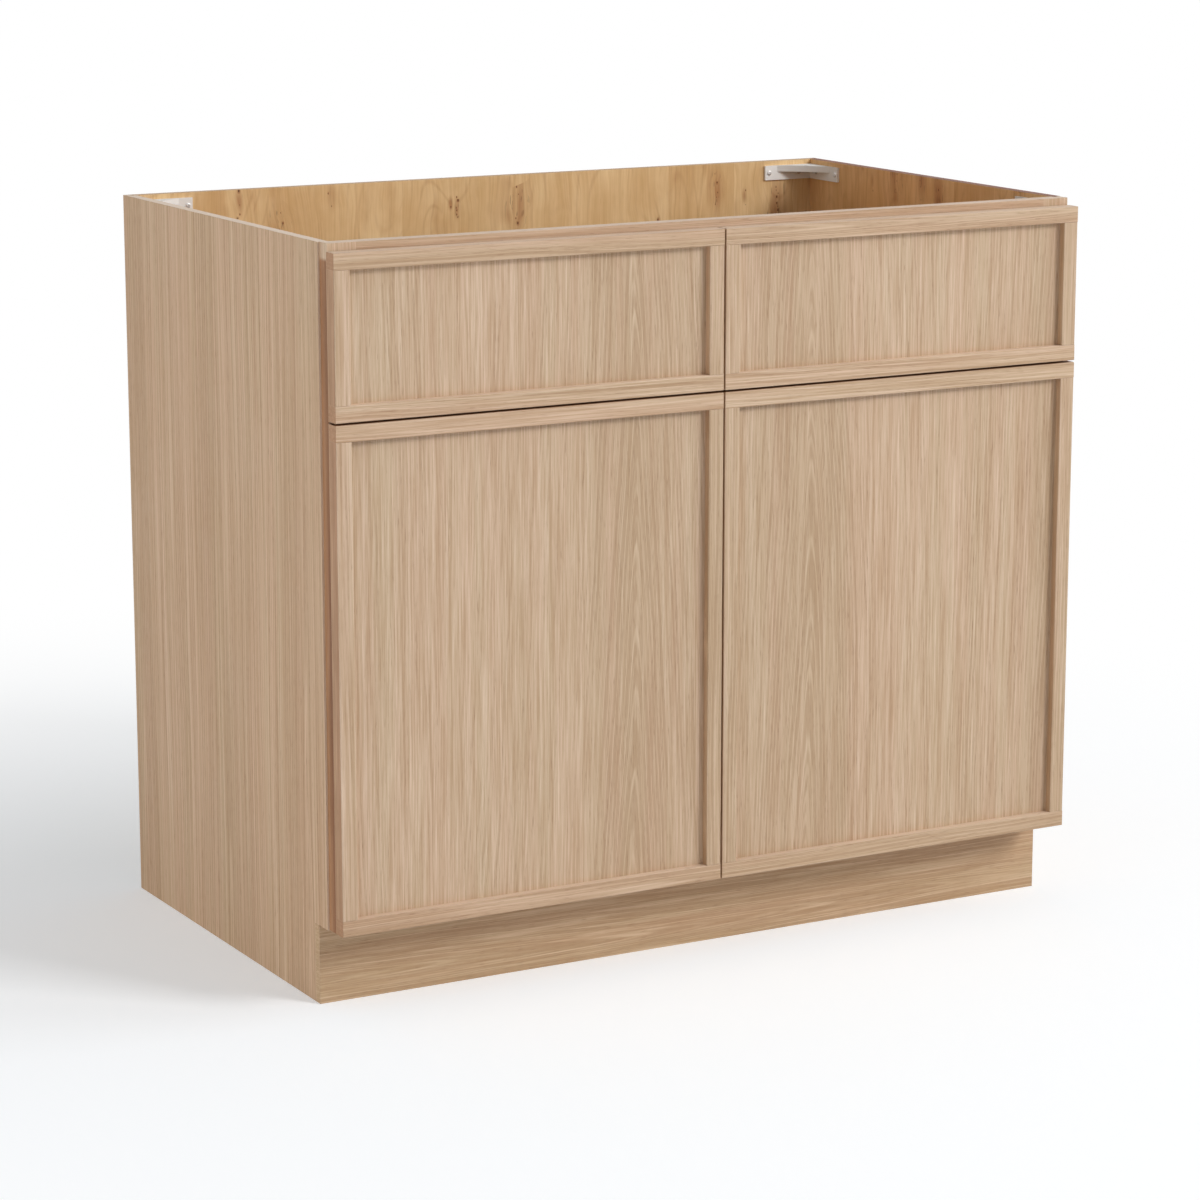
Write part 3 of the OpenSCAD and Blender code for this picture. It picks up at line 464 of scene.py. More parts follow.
# Where a face's normal counts as looking along an axis, and where that painted shade begins and ends
SQUARE_ON = (0.7, 0.9)
FRAME_FRONT, FRONTS_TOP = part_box("frame_stile_left")[0][1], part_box("left_drawer_front_stiles")[1][2]
FRAME_BACK, SHADE_FROM, SHADE_TO = FRAME_FRONT + 0.017, FRONTS_TOP - 0.001, FRONTS_TOP + 0.004
OUTER_X = -(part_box("left_drawer_front_stiles")[0][0] + 0.016)


def shader(name):
    """A new material, its tree helper and its shader."""
    material = bpy.data.materials.new(name)
    material.use_nodes = True
    return material, Tree(material.node_tree), material.node_tree.nodes["Principled BSDF"]


def bump(t, height, normal, strength, distance):
    values = {"Height": height, "Normal": normal, "Strength": strength, "Distance": distance}
    return t.new("ShaderNodeBump", values).outputs["Normal"]


def wood_place(t, way, seed):
    """A board's place. way is the direction of its grain: z on a front, side upright on a side, x and y lying."""
    ways = {"Along X": float(way == "x"), "Along Y": float(way == "y"), "Side": float(way == "side")}
    return use(t, BOARD, {**ways, "Seed": seed})


def oak_face(t, way, seed, leaf=0.24, pitch=0.0058, arch=1.0, run=1.0, depth=1.0):
    """The oak's colour, pores and height, from the size of its leaves and rings and the depth of its figure."""
    place = wood_place(t, way, seed)
    figure = {"Place": place["Place"], "Leaf": leaf, "Pitch": pitch, "Arch": arch, "Run": run, "Depth": depth}
    grain = use(t, OAK, figure)
    colour = t.mix(t.ramp(grain["Tone"], 0.2, 0.85, kind="LINEAR"), OAK_DEEP, OAK_PALE)
    colour = t.mix(t.mul(grain["Line"], 0.56), colour, OAK_LINE)
    colour = t.mix(t.mul(grain["Pore"], 0.42), colour, OAK_PORE)
    colour = t.tinted(colour, t.mix(grain["Hue"], OAK_WARM, OAK_COOL))
    colour = t.mix(t.mul(place["End"], 0.35), colour, OAK_END)
    return colour, grain["Pore"], grain["Height"]


def ply_face(t, way, seed, cut):
    """The plywood's colour and height. cut is the axis that the sheet is thin along, where its layers show."""
    place = wood_place(t, way, seed)["Place"]
    if (way, cut) in (("x", "z"), ("y", "x")):
        into, across, along = t.parts(place)
        place = t.xyz(across, into, along)
    face = use(t, PLY, {"Place": place})
    colour = t.mix(t.ramp(face["Tone"], 0.2, 0.85), PLY_DEEP, PLY_PALE)
    colour = t.mix(t.mul(face["Red"], 0.64), colour, PLY_RED)
    colour = t.mix(t.mul(face["Knot"], 0.92), colour, PLY_KNOT)

    spot, normal = t.surface()
    axis = "xyz".index(cut)
    faces_cut = t.abs(t.parts(normal)[axis])
    wave = t.mul(t.noise(spot, 30.0), 0.25)
    layer = t.fract(t.add(t.div(t.parts(spot)[axis], LAYER_PAIR), wave))
    layers = t.mix(t.ramp(layer, 0.42, 0.58), LAYER_PALE, LAYER_DEEP)
    layers = t.mix(t.ramp(t.noise(spot, 900.0), 0.55, 0.75, 0.0, 0.35), layers, LAYER_SPECK)
    return t.mix(t.ramp(faces_cut, 0.5, 0.3), colour, layers), face["Height"]


def wood(t, b, colour, height, pore, rough, tint, top_light=0.0):
    """Finishes a wood: painted light that pales its faces that look up, worn edges, a little dust, smudges and
    bumps. top is how much of that painted light there is.
    """
    edge, wear = use(t, EDGE, {"Radius": 0.6 * MM}), use(t, WEAR)
    # Painted light: faces that look up are paled as if lit more from above
    colour = t.mix(t.mul(wear["Up"], top_light), colour, PAINTED_TOP_LIGHT)
    colour = t.mix(t.mul(edge["Mask"], 0.35), colour, OAK_WORN)
    colour = t.mix(t.mul(wear["Dust"], 0.05), colour, DUST)
    smudged = t.ramp(wear["Smudge"], 0.3, 0.7, rough - 0.05, rough + 0.05)
    t.put(b.inputs["Base Color"], t.tinted(colour, tint))
    t.put(b.inputs["Roughness"], t.add(smudged, t.mul(pore, 0.15)))
    b.inputs["Specular IOR Level"].default_value = 0.35
    t.put(b.inputs["Normal"], bump(t, height, edge["Normal"], 0.35, 0.4 * MM))


def oak(name, way, seed, tint=PLAIN, flank_shade=None, shade_behind=None, outer=None, aside=0, top_light=0.6, **figure):
    """Oak. flank paints shade on the faces that look along the axis aside. behind is that painted shade at the
    frame's back edge, and with it the painted shade stops at the fronts' upper edge. outer paints shade on the
    outer edges of the fronts."""
    material, t, b = shader(name)
    colour, pore, height = oak_face(t, way, seed, **figure)
    place, normal = t.surface()
    x, y, z = t.parts(place)
    looks_along = t.parts(t.vec("ABSOLUTE", normal))
    # Painted shade on faces that look along the axis aside; on the frame's flank it fades towards the back and
    # stops at the fronts' upper edge
    if flank_shade:
        seen, stain_and_shade = t.ramp(looks_along[aside], *SQUARE_ON), flank_shade
        if shade_behind:
            stain_and_shade = t.mix(t.ramp(y, FRAME_FRONT, FRAME_BACK), (*flank_shade, 1.0), (*shade_behind, 1.0))
            seen = t.mul(seen, t.ramp(z, SHADE_FROM, SHADE_TO, 1.0, 0.0))
        colour = t.mix(seen, colour, t.tinted(colour, stain_and_shade))
    # Painted shade on the outer edges of the fronts
    if outer:
        seen = t.mul(t.ramp(looks_along[0], *SQUARE_ON), t.above(t.abs(x), OUTER_X))
        colour = t.mix(seen, colour, t.tinted(colour, outer))
    wood(t, b, colour, height, pore, 0.55, tint, top_light)
    return material


def plywood(name, way, seed, cut, tint=PLAIN):
    material, t, b = shader(name)
    colour, height = ply_face(t, way, seed, cut)
    wood(t, b, colour, height, 0.0, 0.48, tint)
    return material


def side_board(name, seed, inward, upper, top_light):
    """A side panel: oak outside, knotty plywood inside tinted partly for its colour and partly as painted shade,
    and tape on its edges. inward is the way its inner face looks, upper the two shades of the tape on its upper
    edge, and top how much painted light pales its faces that look up."""
    material, t, b = shader(name)
    outer, pore, oak_height = oak_face(t, "side", seed, run=0.4, depth=1.25)
    inner, ply_height = ply_face(t, "side", seed + 40.0, "x")
    place, normal = t.surface()
    looks_x, looks_y, looks_z = t.parts(normal)
    looks_in = t.mul(looks_x, inward)
    is_inner = t.ramp(looks_in, 0.4, 0.6)
    is_outer = t.sub(1.0, is_inner)
    is_edge = t.mul(t.ramp(looks_in, -0.6, -0.4), t.ramp(looks_in, 0.6, 0.4))
    streaks = t.ramp(t.noise(t.scaled(t.parts(place), (700.0, 14.0, 14.0)), 1.0, 3.0, 0.6), 0.3, 0.7)
    tape = t.mix(t.ramp(looks_z, *LOOKS_UP), t.mix(streaks, *PALE_TAPE), t.mix(streaks, *upper))
    # The inner face's tint is partly its colour and partly painted shade
    faces = t.mix(is_inner, t.tinted(outer, SIDE_TINT), t.tinted(inner, INNER_TINT_AND_SHADE))
    height = t.add(t.mul(oak_height, is_outer), t.mul(ply_height, is_inner))
    wood(t, b, t.mix(is_edge, faces, tape), height, t.mul(pore, is_outer), 0.53, PLAIN, top_light)
    return material


def zinc(name, colour=(0.72, 0.735, 0.75), rough=0.32, lined=False):
    """Plated steel with a faint spangle, brushed along y where it is lined."""
    material, t, b = shader(name)
    place, normal = t.surface()
    edge, wear = use(t, EDGE, {"Radius": 0.3 * MM}), use(t, WEAR, {"Scale": 30.0})
    spangle = t.new("ShaderNodeTexVoronoi", {"Vector": place, "Scale": 260.0}).outputs["Color"]
    shade = t.ramp(t.parts(spangle)[0], 0.0, 1.0, 0.0, 0.28)
    darker = (colour[0] * 0.72, colour[1] * 0.74, colour[2] * 0.78, 1.0)
    mixed = t.mix(shade, (*colour, 1.0), darker)
    t.put(b.inputs["Base Color"], t.mix(t.mul(edge["Mask"], 0.4), mixed, (0.9, 0.91, 0.92, 1.0)))
    b.inputs["Metallic"].default_value = 1.0
    t.put(b.inputs["Roughness"], t.ramp(wear["Smudge"], 0.3, 0.7, rough - 0.06, rough + 0.1))
    if lined:
        brushed = t.noise(t.scaled(t.parts(place), (2500.0, 40.0, 2500.0)), 1.0, 1.0)
    else:
        brushed = t.noise(place, 1800.0)
    t.put(b.inputs["Normal"], bump(t, brushed, edge["Normal"], 0.12, 0.1 * MM))
    return material


def plastic(name, colour, rough, milky):
    """Moulded plastic with faint flow marks; milky is how much light goes into it."""
    material, t, b = shader(name)
    place, normal = t.surface()
    edge, wear = use(t, EDGE, {"Radius": 0.4 * MM}), use(t, WEAR, {"Scale": 25.0})
    flow = t.ramp(t.noise(place, 60.0, 3.0), 0.3, 0.7, 0.0, 0.2)
    mixed = t.mix(flow, colour, (*(part * 0.86 for part in colour[:3]), 1.0))
    t.put(b.inputs["Base Color"], t.mix(t.mul(edge["Mask"], 0.5), mixed, (0.95, 0.94, 0.92, 1.0)))
    t.put(b.inputs["Roughness"], t.ramp(wear["Smudge"], 0.3, 0.7, rough - 0.08, rough + 0.12))
    b.inputs["Subsurface Weight"].default_value = milky
    b.inputs["Subsurface Radius"].default_value = (1.0, 0.9, 0.8)
    b.inputs["Subsurface Scale"].default_value = 2.0 * MM
    t.put(b.inputs["Normal"], bump(t, t.noise(place, 1400.0), edge["Normal"], 0.1, 0.1 * MM))
    return material


# ---------------------------------------------------------------- materials of the CAD nodes


def give(node, material):
    slots = nodes[node].data.materials
    slots.clear()
    slots.append(material)


# The figure and painted shade of each kind of oak piece
FRAME_STILE = dict(flank_shade=PAINTED_FLANK_SHADE, shade_behind=PAINTED_FLANK_SHADE_BEHIND, leaf=0.3, arch=0.3)
FRAME_RAIL = dict(tint=RAIL_TINT, leaf=0.3, pitch=0.0046, arch=0.8, depth=1.2)
TOE = dict(tint=TOE_TINT, leaf=0.16, pitch=0.005, arch=2.4, run=1.7, depth=1.45)
PANEL = dict(tint=FRONT_TINT, leaf=0.43, pitch=0.0048, arch=3.2, run=1.5)
RAIL = dict(tint=RAIL_TINT, outer=PAINTED_RAIL_END_SHADE, leaf=0.3, pitch=0.0046, arch=1.1, depth=1.2)
# The door's top rail gets painted shade on its faces that look up and down, in the gap under the drawer front, and
# no painted top light
DOOR_TOP = dict(RAIL, flank_shade=PAINTED_GAP_SHADE, aside=2, top_light=0.0)
STILE = dict(tint=FRONT_TINT, flank_shade=PAINTED_RECESS_SHADE, outer=PAINTED_OUTER_EDGE_SHADE, leaf=0.3, pitch=0.0046, arch=0.3, run=1.3)

give("side_panel_left", side_board("side_board_left", 3.1, 1.0, PALE_TAPE, 0.75))
give("side_panel_right", side_board("side_board_right", 5.3, -1.0, BROWN_TAPE, 0.0))
give("frame_stile_left", oak("oak_stile_left", "z", 7.7, **FRAME_STILE))
give("frame_stile_right", oak("oak_stile_right", "z", 9.2, **FRAME_STILE))
give("frame_mullion", oak("oak_mullion", "z", 11.4, leaf=0.3, arch=0.3))
for k, rail in enumerate(("frame_top_rail", "frame_middle_rail", "frame_bottom_rail")):
    give(rail, oak("oak_" + rail, "x", 13.0 + 2.3 * k, **FRAME_RAIL))
give("toe_kick_skin", oak("oak_toe", "x", 21.7, **TOE))

for side, panel_seed, more in (("left", 32.25, 0.0), ("right", 34.29, 4.9)):
    for label, way, seed, look, pieces in (
        ("panels", "z", panel_seed, PANEL, ("drawer_front_panel", "door_panel")),
        ("drawer_rails", "x", 41.3 + more, RAIL, ("drawer_front_rails",)),
        ("drawer_stiles", "z", 52.9 + more, STILE, ("drawer_front_stiles",)),
        ("door_top", "x", 63.1 + more, DOOR_TOP, ("door_top_rail",)),
        ("door_bottom", "x", 74.7 + more, RAIL, ("door_bottom_rail",)),
        ("door_stiles", "z", 85.2 + more, STILE, ("door_hinge_stile", "door_meeting_stile")),
    ):
        material = oak(f"oak_{side}_{label}", way, seed, **look)
        for piece in pieces:
            give(f"{side}_{piece}", material)

give("back_panel", plywood("ply_back", "z", 1.0, "y", BACK_TINT))
give("floor_panel", plywood("ply_floor", "x", 2.2, "z"))
give("shelf", plywood("ply_shelf", "x", 3.9, "z"))
give("toe_kick_board", plywood("ply_toe_board", "x", 4.4, "y"))
# The boards of a drawer box: the way of the grain, the seed and the axis that the board is thin along
BOX_BOARDS = (
    ("front", "x", 6.1, "y"),
    ("back", "x", 8.3, "y"),
    ("sides", "y", 10.7, "x"),
    ("bottom", "y", 12.9, "z"),
)
for k, side in enumerate(SIDES):
    for board, way, seed, cut in BOX_BOARDS:
        give(f"{side}_drawer_box_{board}", plywood(f"ply_{side}_box_{board}", way, seed + k, cut))

steel = zinc("zinc_parts")
runner = zinc("zinc_runner", (0.70, 0.715, 0.73), 0.28, lined=True)
nickel = zinc("nickel_hinge", (0.74, 0.73, 0.70), 0.2)
screw_zinc = zinc("screw_zinc", (0.66, 0.665, 0.67), 0.3)
bracket_screw = zinc("bracket_screw", (0.64, 0.61, 0.59), 0.55)
bright_steel = zinc("bright_steel", (0.80, 0.81, 0.82), 0.1)
bumper_plastic = plastic("bumper_plastic", srgb(226, 226, 224), 0.2, 0.6)

# The first row with a word that is in a node's name gives that node its material. The corner brackets keep the
# plain plastic that comes with the frame
HARDWARE = (
    (("runner", "slides"), runner),
    (("hinge_plates", "hinge_links", "hinge_cups"), nickel),
    (("screws", "shelf_pins"), steel),
    (("frame_bumpers",), bumper_plastic),
)
for node in nodes:
    for words, material in HARDWARE:
        if any(word in node for word in words):
            give(node, material)
            break


# ---------------------------------------------------------------- screws, bumpers and runner balls

HEAD_R, HEAD_H, SHANK_R = 3.2 * MM, 1.2 * MM, 1.75 * MM
BUMPER_R, BUMPER_H = 4.0 * MM, 1.0 * MM
# Profiles as shares of a radius and a height
HEAD_PROFILE = ((0, 0), (1, 0), (1, 0.3), (0.93, 0.58), (0.75, 0.82), (0.45, 0.96), (0, 1))
BUMPER_PROFILE = ((0, 0), (1, 0), (1, 0.35), (0.9, 0.7), (0.65, 0.93), (0, 1))
# The recess's arms: length and width as shares of the head's radius, depth and height as shares of its height
ARM_L, ARM_W, ARM_D, ARM_UP = 1.15, 0.27, 1.1, 0.9
THREAD_TURNS, THREAD_ROOT, THREAD_L = 9, 0.78, 0.85
SHARP_EDGE, OPEN_EDGE = 0.6, 3.0


def soften(mesh):
    """Shades a mesh smooth, but for its sharp edges."""
    bm = bmesh.new()
    bm.from_mesh(mesh)
    for face in bm.faces:
        face.smooth = True
    for edge in bm.edges:
        edge.smooth = edge.calc_face_angle(OPEN_EDGE) < SHARP_EDGE
    bm.to_mesh(mesh)
    bm.free()


def turned(name, profile, radius, height, sides):
    """A closed solid turned about z. Its profile is pairs of shares of the radius and the height, and begins and
    ends on the axis."""
    bm = bmesh.new()
    rings = []
    for share, level in profile:
        spots = [math.tau * k / sides for k in range(sides if share else 1)]
        r, z = radius * share, height * level
        rings.append([bm.verts.new((r * math.cos(spot), r * math.sin(spot), z)) for spot in spots])
    for low, high in zip(rings, rings[1:]):
        for k in range(sides):
            after = k + 1
            corners = (low[k % len(low)], low[after % len(low)], high[after % len(high)], high[k % len(high)])
            bm.faces.new(tuple(dict.fromkeys(corners)))
    bmesh.ops.recalc_face_normals(bm, faces=bm.faces)
    mesh = bpy.data.meshes.new(name)
    bm.to_mesh(mesh)
    bm.free()
    soften(mesh)
    return bpy.data.objects.new(name, mesh)


def plain_mesh(made):
    """The mesh of an object with its modifiers worked in."""
    graph = bpy.context.evaluated_depsgraph_get()
    return bpy.data.meshes.new_from_object(made.evaluated_get(graph), depsgraph=graph)


def cross_head():
    """A low domed head with a cross recess, its underside at z = 0."""
    head = turned("screw_head", HEAD_PROFILE, HEAD_R, HEAD_H, 24)
    bm = bmesh.new()
    for turn in (0.0, math.pi / 2):
        size = Matrix.Diagonal((ARM_L * HEAD_R, ARM_W * HEAD_R, ARM_D * HEAD_H, 1))
        arm = Matrix.Rotation(turn, 4, "Z") @ Matrix.Translation((0, 0, ARM_UP * HEAD_H)) @ size
        bmesh.ops.create_cube(bm, size=1.0, matrix=arm)
    cutter = bpy.data.objects.new("recess", bpy.data.meshes.new("recess"))
    bm.to_mesh(cutter.data)
    bm.free()
    for solid in (head, cutter):
        scene.collection.objects.link(solid)
    cut = head.modifiers.new("recess", "BOOLEAN")
    cut.object, cut.operation, cut.solver, cut.use_self = cutter, "DIFFERENCE", "EXACT", True
    mesh = plain_mesh(head)
    soften(mesh)
    for solid in (cutter, head):
        bpy.data.objects.remove(solid)
    return bpy.data.objects.new("cross_head", mesh)


def shank():
    """A threaded shank of length 1 below z = 0, to be drawn out to each screw's depth."""
    steps = 2 * THREAD_TURNS
    thread = [(1.0 if k % 2 else THREAD_ROOT, -THREAD_L * k / steps) for k in range(steps + 1)]
    return turned("shank", [(0, 0)] + thread + [(0, -1.0)], SHANK_R, 1.0, 16)


def tree_of(name, inputs):
    """A Geometry Nodes tree with a geometry input and output and the named inputs, its helper and input sockets."""
    made = bpy.data.node_groups.new(name, "GeometryNodeTree")
    made.interface.new_socket("Geometry", in_out="INPUT", socket_type="NodeSocketGeometry")
    made.interface.new_socket("Geometry", in_out="OUTPUT", socket_type="NodeSocketGeometry")
    for label, kind in inputs:
        made.interface.new_socket(label, in_out="INPUT", socket_type=kind)
    t = Tree(made)
    return made, t, t.new("NodeGroupInput").outputs


def live(sockets, name):
    """The socket of that name that is in use, where a node keeps one for each kind of data."""
    return next(socket for socket in sockets if socket.enabled and socket.name == name)


def attribute(t, name, kind):
    return live(t.new("GeometryNodeInputNamedAttribute", {"Name": name}, data_type=kind).outputs, "Attribute")


def finish_tree(t, parts, material):
    join = t.new("GeometryNodeJoinGeometry")
    for part in parts:
        t.put(join.inputs[0], part)
    real = t.new("GeometryNodeRealizeInstances", {0: join.outputs[0]})
    coat = t.new("GeometryNodeSetMaterial", {"Geometry": real.outputs[0], "Material": material})
    t.new("NodeGroupOutput", {"Geometry": coat.outputs[0]})


def fastener_tree():
    """Heads and shanks on points: each looks along the point's axis, turned by chance, its shank drawn out to the
    point's depth."""
    made, t, given = tree_of(
        "Fasteners on places",
        [
            ("Head", "NodeSocketObject"),
            ("Head size", VECTOR),
            ("Shank", "NodeSocketObject"),
            ("Seed", "NodeSocketInt"),
            ("Finish", "NodeSocketMaterial"),
        ],
    )
    chance = t.new("FunctionNodeRandomValue", data_type="FLOAT")
    t.put(live(chance.inputs, "Max"), math.tau)
    t.put(live(chance.inputs, "Seed"), given["Seed"])
    spin = t.new("FunctionNodeAxisAngleToRotation", {"Angle": live(chance.outputs, "Value")})
    axis = attribute(t, "axis", "FLOAT_VECTOR")
    aim = t.new("FunctionNodeAlignRotationToVector", {"Vector": axis}, axis="Z")
    turn = t.new("FunctionNodeRotateRotation", {0: aim.outputs[0], 1: spin.outputs[0]}, rotation_space="LOCAL")
    drawn_out = t.xyz(1.0, 1.0, attribute(t, "depth", "FLOAT"))
    parts = []
    for part, scale in (("Head", given["Head size"]), ("Shank", drawn_out)):
        shape = t.new("GeometryNodeObjectInfo", {"Object": given[part]}).outputs["Geometry"]
        values = {"Points": given["Geometry"], "Instance": shape, "Rotation": turn.outputs[0], "Scale": scale}
        parts.append(t.new("GeometryNodeInstanceOnPoints", values).outputs[0])
    finish_tree(t, parts, given["Finish"])
    return made


def ball_tree():
    """A row of balls along y from each point."""
    made, t, given = tree_of(
        "Ball rows",
        [("Pitch", FLOAT), ("Count", "NodeSocketInt"), ("Ball size", VECTOR), ("Finish", "NodeSocketMaterial")],
    )
    step = t.xyz(0.0, given["Pitch"], 0.0)
    line = t.new("GeometryNodeMeshLine", {"Count": given["Count"], "Offset": step}, mode="OFFSET")
    ball = t.new("GeometryNodeMeshUVSphere", {"Segments": 8, "Rings": 6, "Radius": 0.5})
    smooth = t.new("GeometryNodeSetShadeSmooth", {"Geometry": ball.outputs[0]})
    values = {"Points": line.outputs[0], "Instance": smooth.outputs[0], "Scale": given["Ball size"]}
    row = t.new("GeometryNodeInstanceOnPoints", values)
    rows = t.new("GeometryNodeInstanceOnPoints", {"Points": given["Geometry"], "Instance": row.outputs[0]})
    finish_tree(t, [rows.outputs[0]], given["Finish"])
    return made


def grown(name, body, places, tree, values, replaced=None):
    """The plain mesh that a tree makes on the places, riding on a body; a place is a point, an axis and a depth."""
    points, axes, depths = zip(*places)
    mesh = bpy.data.meshes.new(name + "_places")
    mesh.from_pydata([tuple(point) for point in points], [], [])
    mesh.attributes.new("axis", "FLOAT_VECTOR", "POINT").data.foreach_set("vector", np.ravel(axes).astype(float))
    mesh.attributes.new("depth", "FLOAT", "POINT").data.foreach_set("value", depths)
    o = bpy.data.objects.new(name, mesh)
    scene.collection.objects.link(o)
    grow = o.modifiers.new("grow", "NODES")
    grow.node_group = tree
    for item in tree.interface.items_tree:
        if item.in_out == "INPUT" and item.name in values:
            grow[item.identifier] = values[item.name]
    o.data = plain_mesh(o)
    o.modifiers.clear()
    bpy.data.meshes.remove(mesh)
    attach(o, body)
    if replaced:
        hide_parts(replaced)


def islands(node):
    """The separate solids of a CAD node, each as an array of its points."""
    bm = bmesh.new()
    bm.from_mesh(nodes[node].data)
    bmesh.ops.remove_doubles(bm, verts=bm.verts, dist=0.01 * MM)
    left, found = set(bm.verts), []
    while left:
        stack, piece = [left.pop()], []
        while stack:
            vert = stack.pop()
            piece.append(vert.co[:])
            for edge in vert.link_edges:
                other = edge.other_vert(vert)
                if other in left:
                    left.remove(other)
                    stack.append(other)
        found.append(np.array(piece))
    bm.free()
    return sorted(found, key=lambda points: tuple(points.mean(0).round(4)))


def boxes(node):
    """The lowest corner, the highest corner and the middle of each of a node's solids."""
    corners = [(points.min(0), points.max(0)) for points in islands(node)]
    return [(low, high, (low + high) / 2) for low, high in corners]


def screw_places(node):
    """The point under each screw's head, the way the head looks, and the length of the shank."""
    places = []
    for points in islands(node):
        low, high = points.min(0), points.max(0)
        middle, k = (low + high) / 2, int(np.argmax(high - low))
        aside = np.delete(np.abs(points - middle), k, 1).max(1)
        head = points[aside > (HEAD_R + SHANK_R) / 2, k]
        sign = 1.0 if head.mean() > middle[k] else -1.0
        axis = np.zeros(3)
        axis[k] = sign
        middle[k] = head.min() if sign > 0 else head.max()
        places.append((middle, axis, high[k] - low[k] - HEAD_H))
    return places


HEAD, SHANK = cross_head(), shank()
BUMPER = turned("bumper", BUMPER_PROFILE, BUMPER_R, BUMPER_H, 32)
for o in (HEAD, SHANK, BUMPER):
    scene.collection.objects.link(o)
FASTENERS, BALLS = fastener_tree(), ball_tree()
FULL_SIZE = (1.0, 1.0, 1.0)

SCREWS = (
    ("corner_bracket_screws", "cabinet", bracket_screw),
    ("fixing_screws", "cabinet", screw_zinc),
    ("left_drawer_screws", "left_drawer", screw_zinc),
    ("right_drawer_screws", "right_drawer", screw_zinc),
)
for seed, (node, body, finish) in enumerate(SCREWS):
    values = {"Head": HEAD, "Head size": FULL_SIZE, "Shank": SHANK, "Seed": seed, "Finish": finish}
    name = node.replace("screws", "pan_screws")
    grown(name, body, screw_places(node), FASTENERS, values, node)

BUMPER_SEED, CAM_SEED, FLANGE_SEED = 9, 5, 7
places = [((x, high[1], z), (0.0, -1.0, 0.0), 0.0) for low, high, (x, y, z) in boxes("frame_bumpers")]
values = {"Head": BUMPER, "Head size": FULL_SIZE, "Seed": BUMPER_SEED, "Finish": bumper_plastic}
grown("soft_bumpers", "cabinet", places, FASTENERS, values, "frame_bumpers")

# Adjusting cams on the hinge plates, and the screws in the flanges of the hinge cups
PLATE_T, CAM_IN, CAM_UP, CAM_SIZE = 1.8 * MM, 7.5 * MM, 11.0 * MM, (0.8, 0.8, 0.75)
FLANGE_IN, DOWEL_UP, FLANGE_SIZE = 9.5 * MM, 22.5 * MM, (0.85, 0.85, 0.25)
places = []
for low, high, middle in boxes("hinge_plates"):
    way = 1.0 if low[0] < 0 else -1.0
    x = low[0] + PLATE_T if way > 0 else high[0] - PLATE_T
    places += [((x, low[1] + CAM_IN, middle[2] + up * CAM_UP), (way, 0.0, 0.0), 0.0) for up in (-1, 1)]
values = {"Head": HEAD, "Head size": CAM_SIZE, "Seed": CAM_SEED, "Finish": nickel}
grown("hinge_cams", "cabinet", places, FASTENERS, values)

for k, side in enumerate(SIDES):
    places = []
    for low, high, middle in boxes(f"{side}_door_hinge_cups"):
        x = middle[0] + (FLANGE_IN if side == "left" else -FLANGE_IN)
        places += [((x, high[1], middle[2] + up * DOWEL_UP), (0.0, 1.0, 0.0), 0.0) for up in (-1, 1)]
    values = {"Head": HEAD, "Head size": FLANGE_SIZE, "Seed": FLANGE_SEED + k, "Finish": nickel}
    grown(f"{side}_hinge_flange_screws", f"{side}_door", places, FASTENERS, values)

# Balls in their cages, outside and inside the middle member of each runner: the row's distance from the
# member's back, its height from the runner's middle, and the size of its balls
BALL_ROWS = (
    ("outer", 3.5 * MM, 19.75 * MM, (3.8 * MM, 3.2 * MM, 2.6 * MM)),
    ("inner", 4.5 * MM, 15.3 * MM, (3.9 * MM, 3.9 * MM, 3.9 * MM)),
)
BALL_PITCH, BALL_END = 12.0 * MM, 6.0 * MM
for side in SIDES:
    low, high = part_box(f"{side}_runner_middles")
    count = int((high[1] - low[1] - 2 * BALL_END) / BALL_PITCH) + 1
    start, level = low[1] + BALL_END, (low[2] + high[2]) / 2
    for label, inset, rise, size in BALL_ROWS:
        rows = [(x, start, level + up * rise) for x in (low[0] + inset, high[0] - inset) for up in (-1, 1)]
        places = [(row, (0.0, 1.0, 0.0), 0.0) for row in rows]
        values = {"Pitch": BALL_PITCH, "Count": count, "Ball size": size, "Finish": bright_steel}
        grown(f"{side}_runner_balls_{label}", f"{side}_runner_middle", places, BALLS, values)

for o in (HEAD, SHANK, BUMPER):
    bpy.data.objects.remove(o)


# ---------------------------------------------------------------- floor, light and camera

FLOOR_HALF = 14.0
FLOOR_PALE, FLOOR_DEEP = (0.90, 0.92, 0.94, 1.0), (0.87, 0.89, 0.91, 1.0)
# A glow that lifts the shaded floor, and where the floor fades into plain white around the object
FLOOR_LIFT, FADE_AT, FADE_FROM, FADE_TO = (0.241, 0.257, 0.270, 1.0), (-0.3, 0.0, 0.0), 0.3, 2.0
ROOM_LIGHT = 0.372
# Each lamp's place, the point it looks at, its width, height and watts
LAMPS = {
    "key": ((5.0, -7.2, 5.6), (0.0, 0.0, 0.4), 3.0, 3.0, 493.0),
    "side": ((8.4, -3.4, 5.2), (0.0, 0.0, 0.4), 5.0, 5.0, 233.0),
    "fill": ((-4.6, -0.6, 0.55), (0.0, 0.0, 0.5), 3.5, 1.0, 56.0),
}
EYE_AT, EYE_DOWN, EYE_TURN, LENS, SENSOR = (-2.2215, -4.0208, 1.3560), 12.03, -28.94, 113.75, 36.0


def output_of(tree, kind):
    return next(node for node in tree.nodes if node.type == kind).inputs["Surface"]


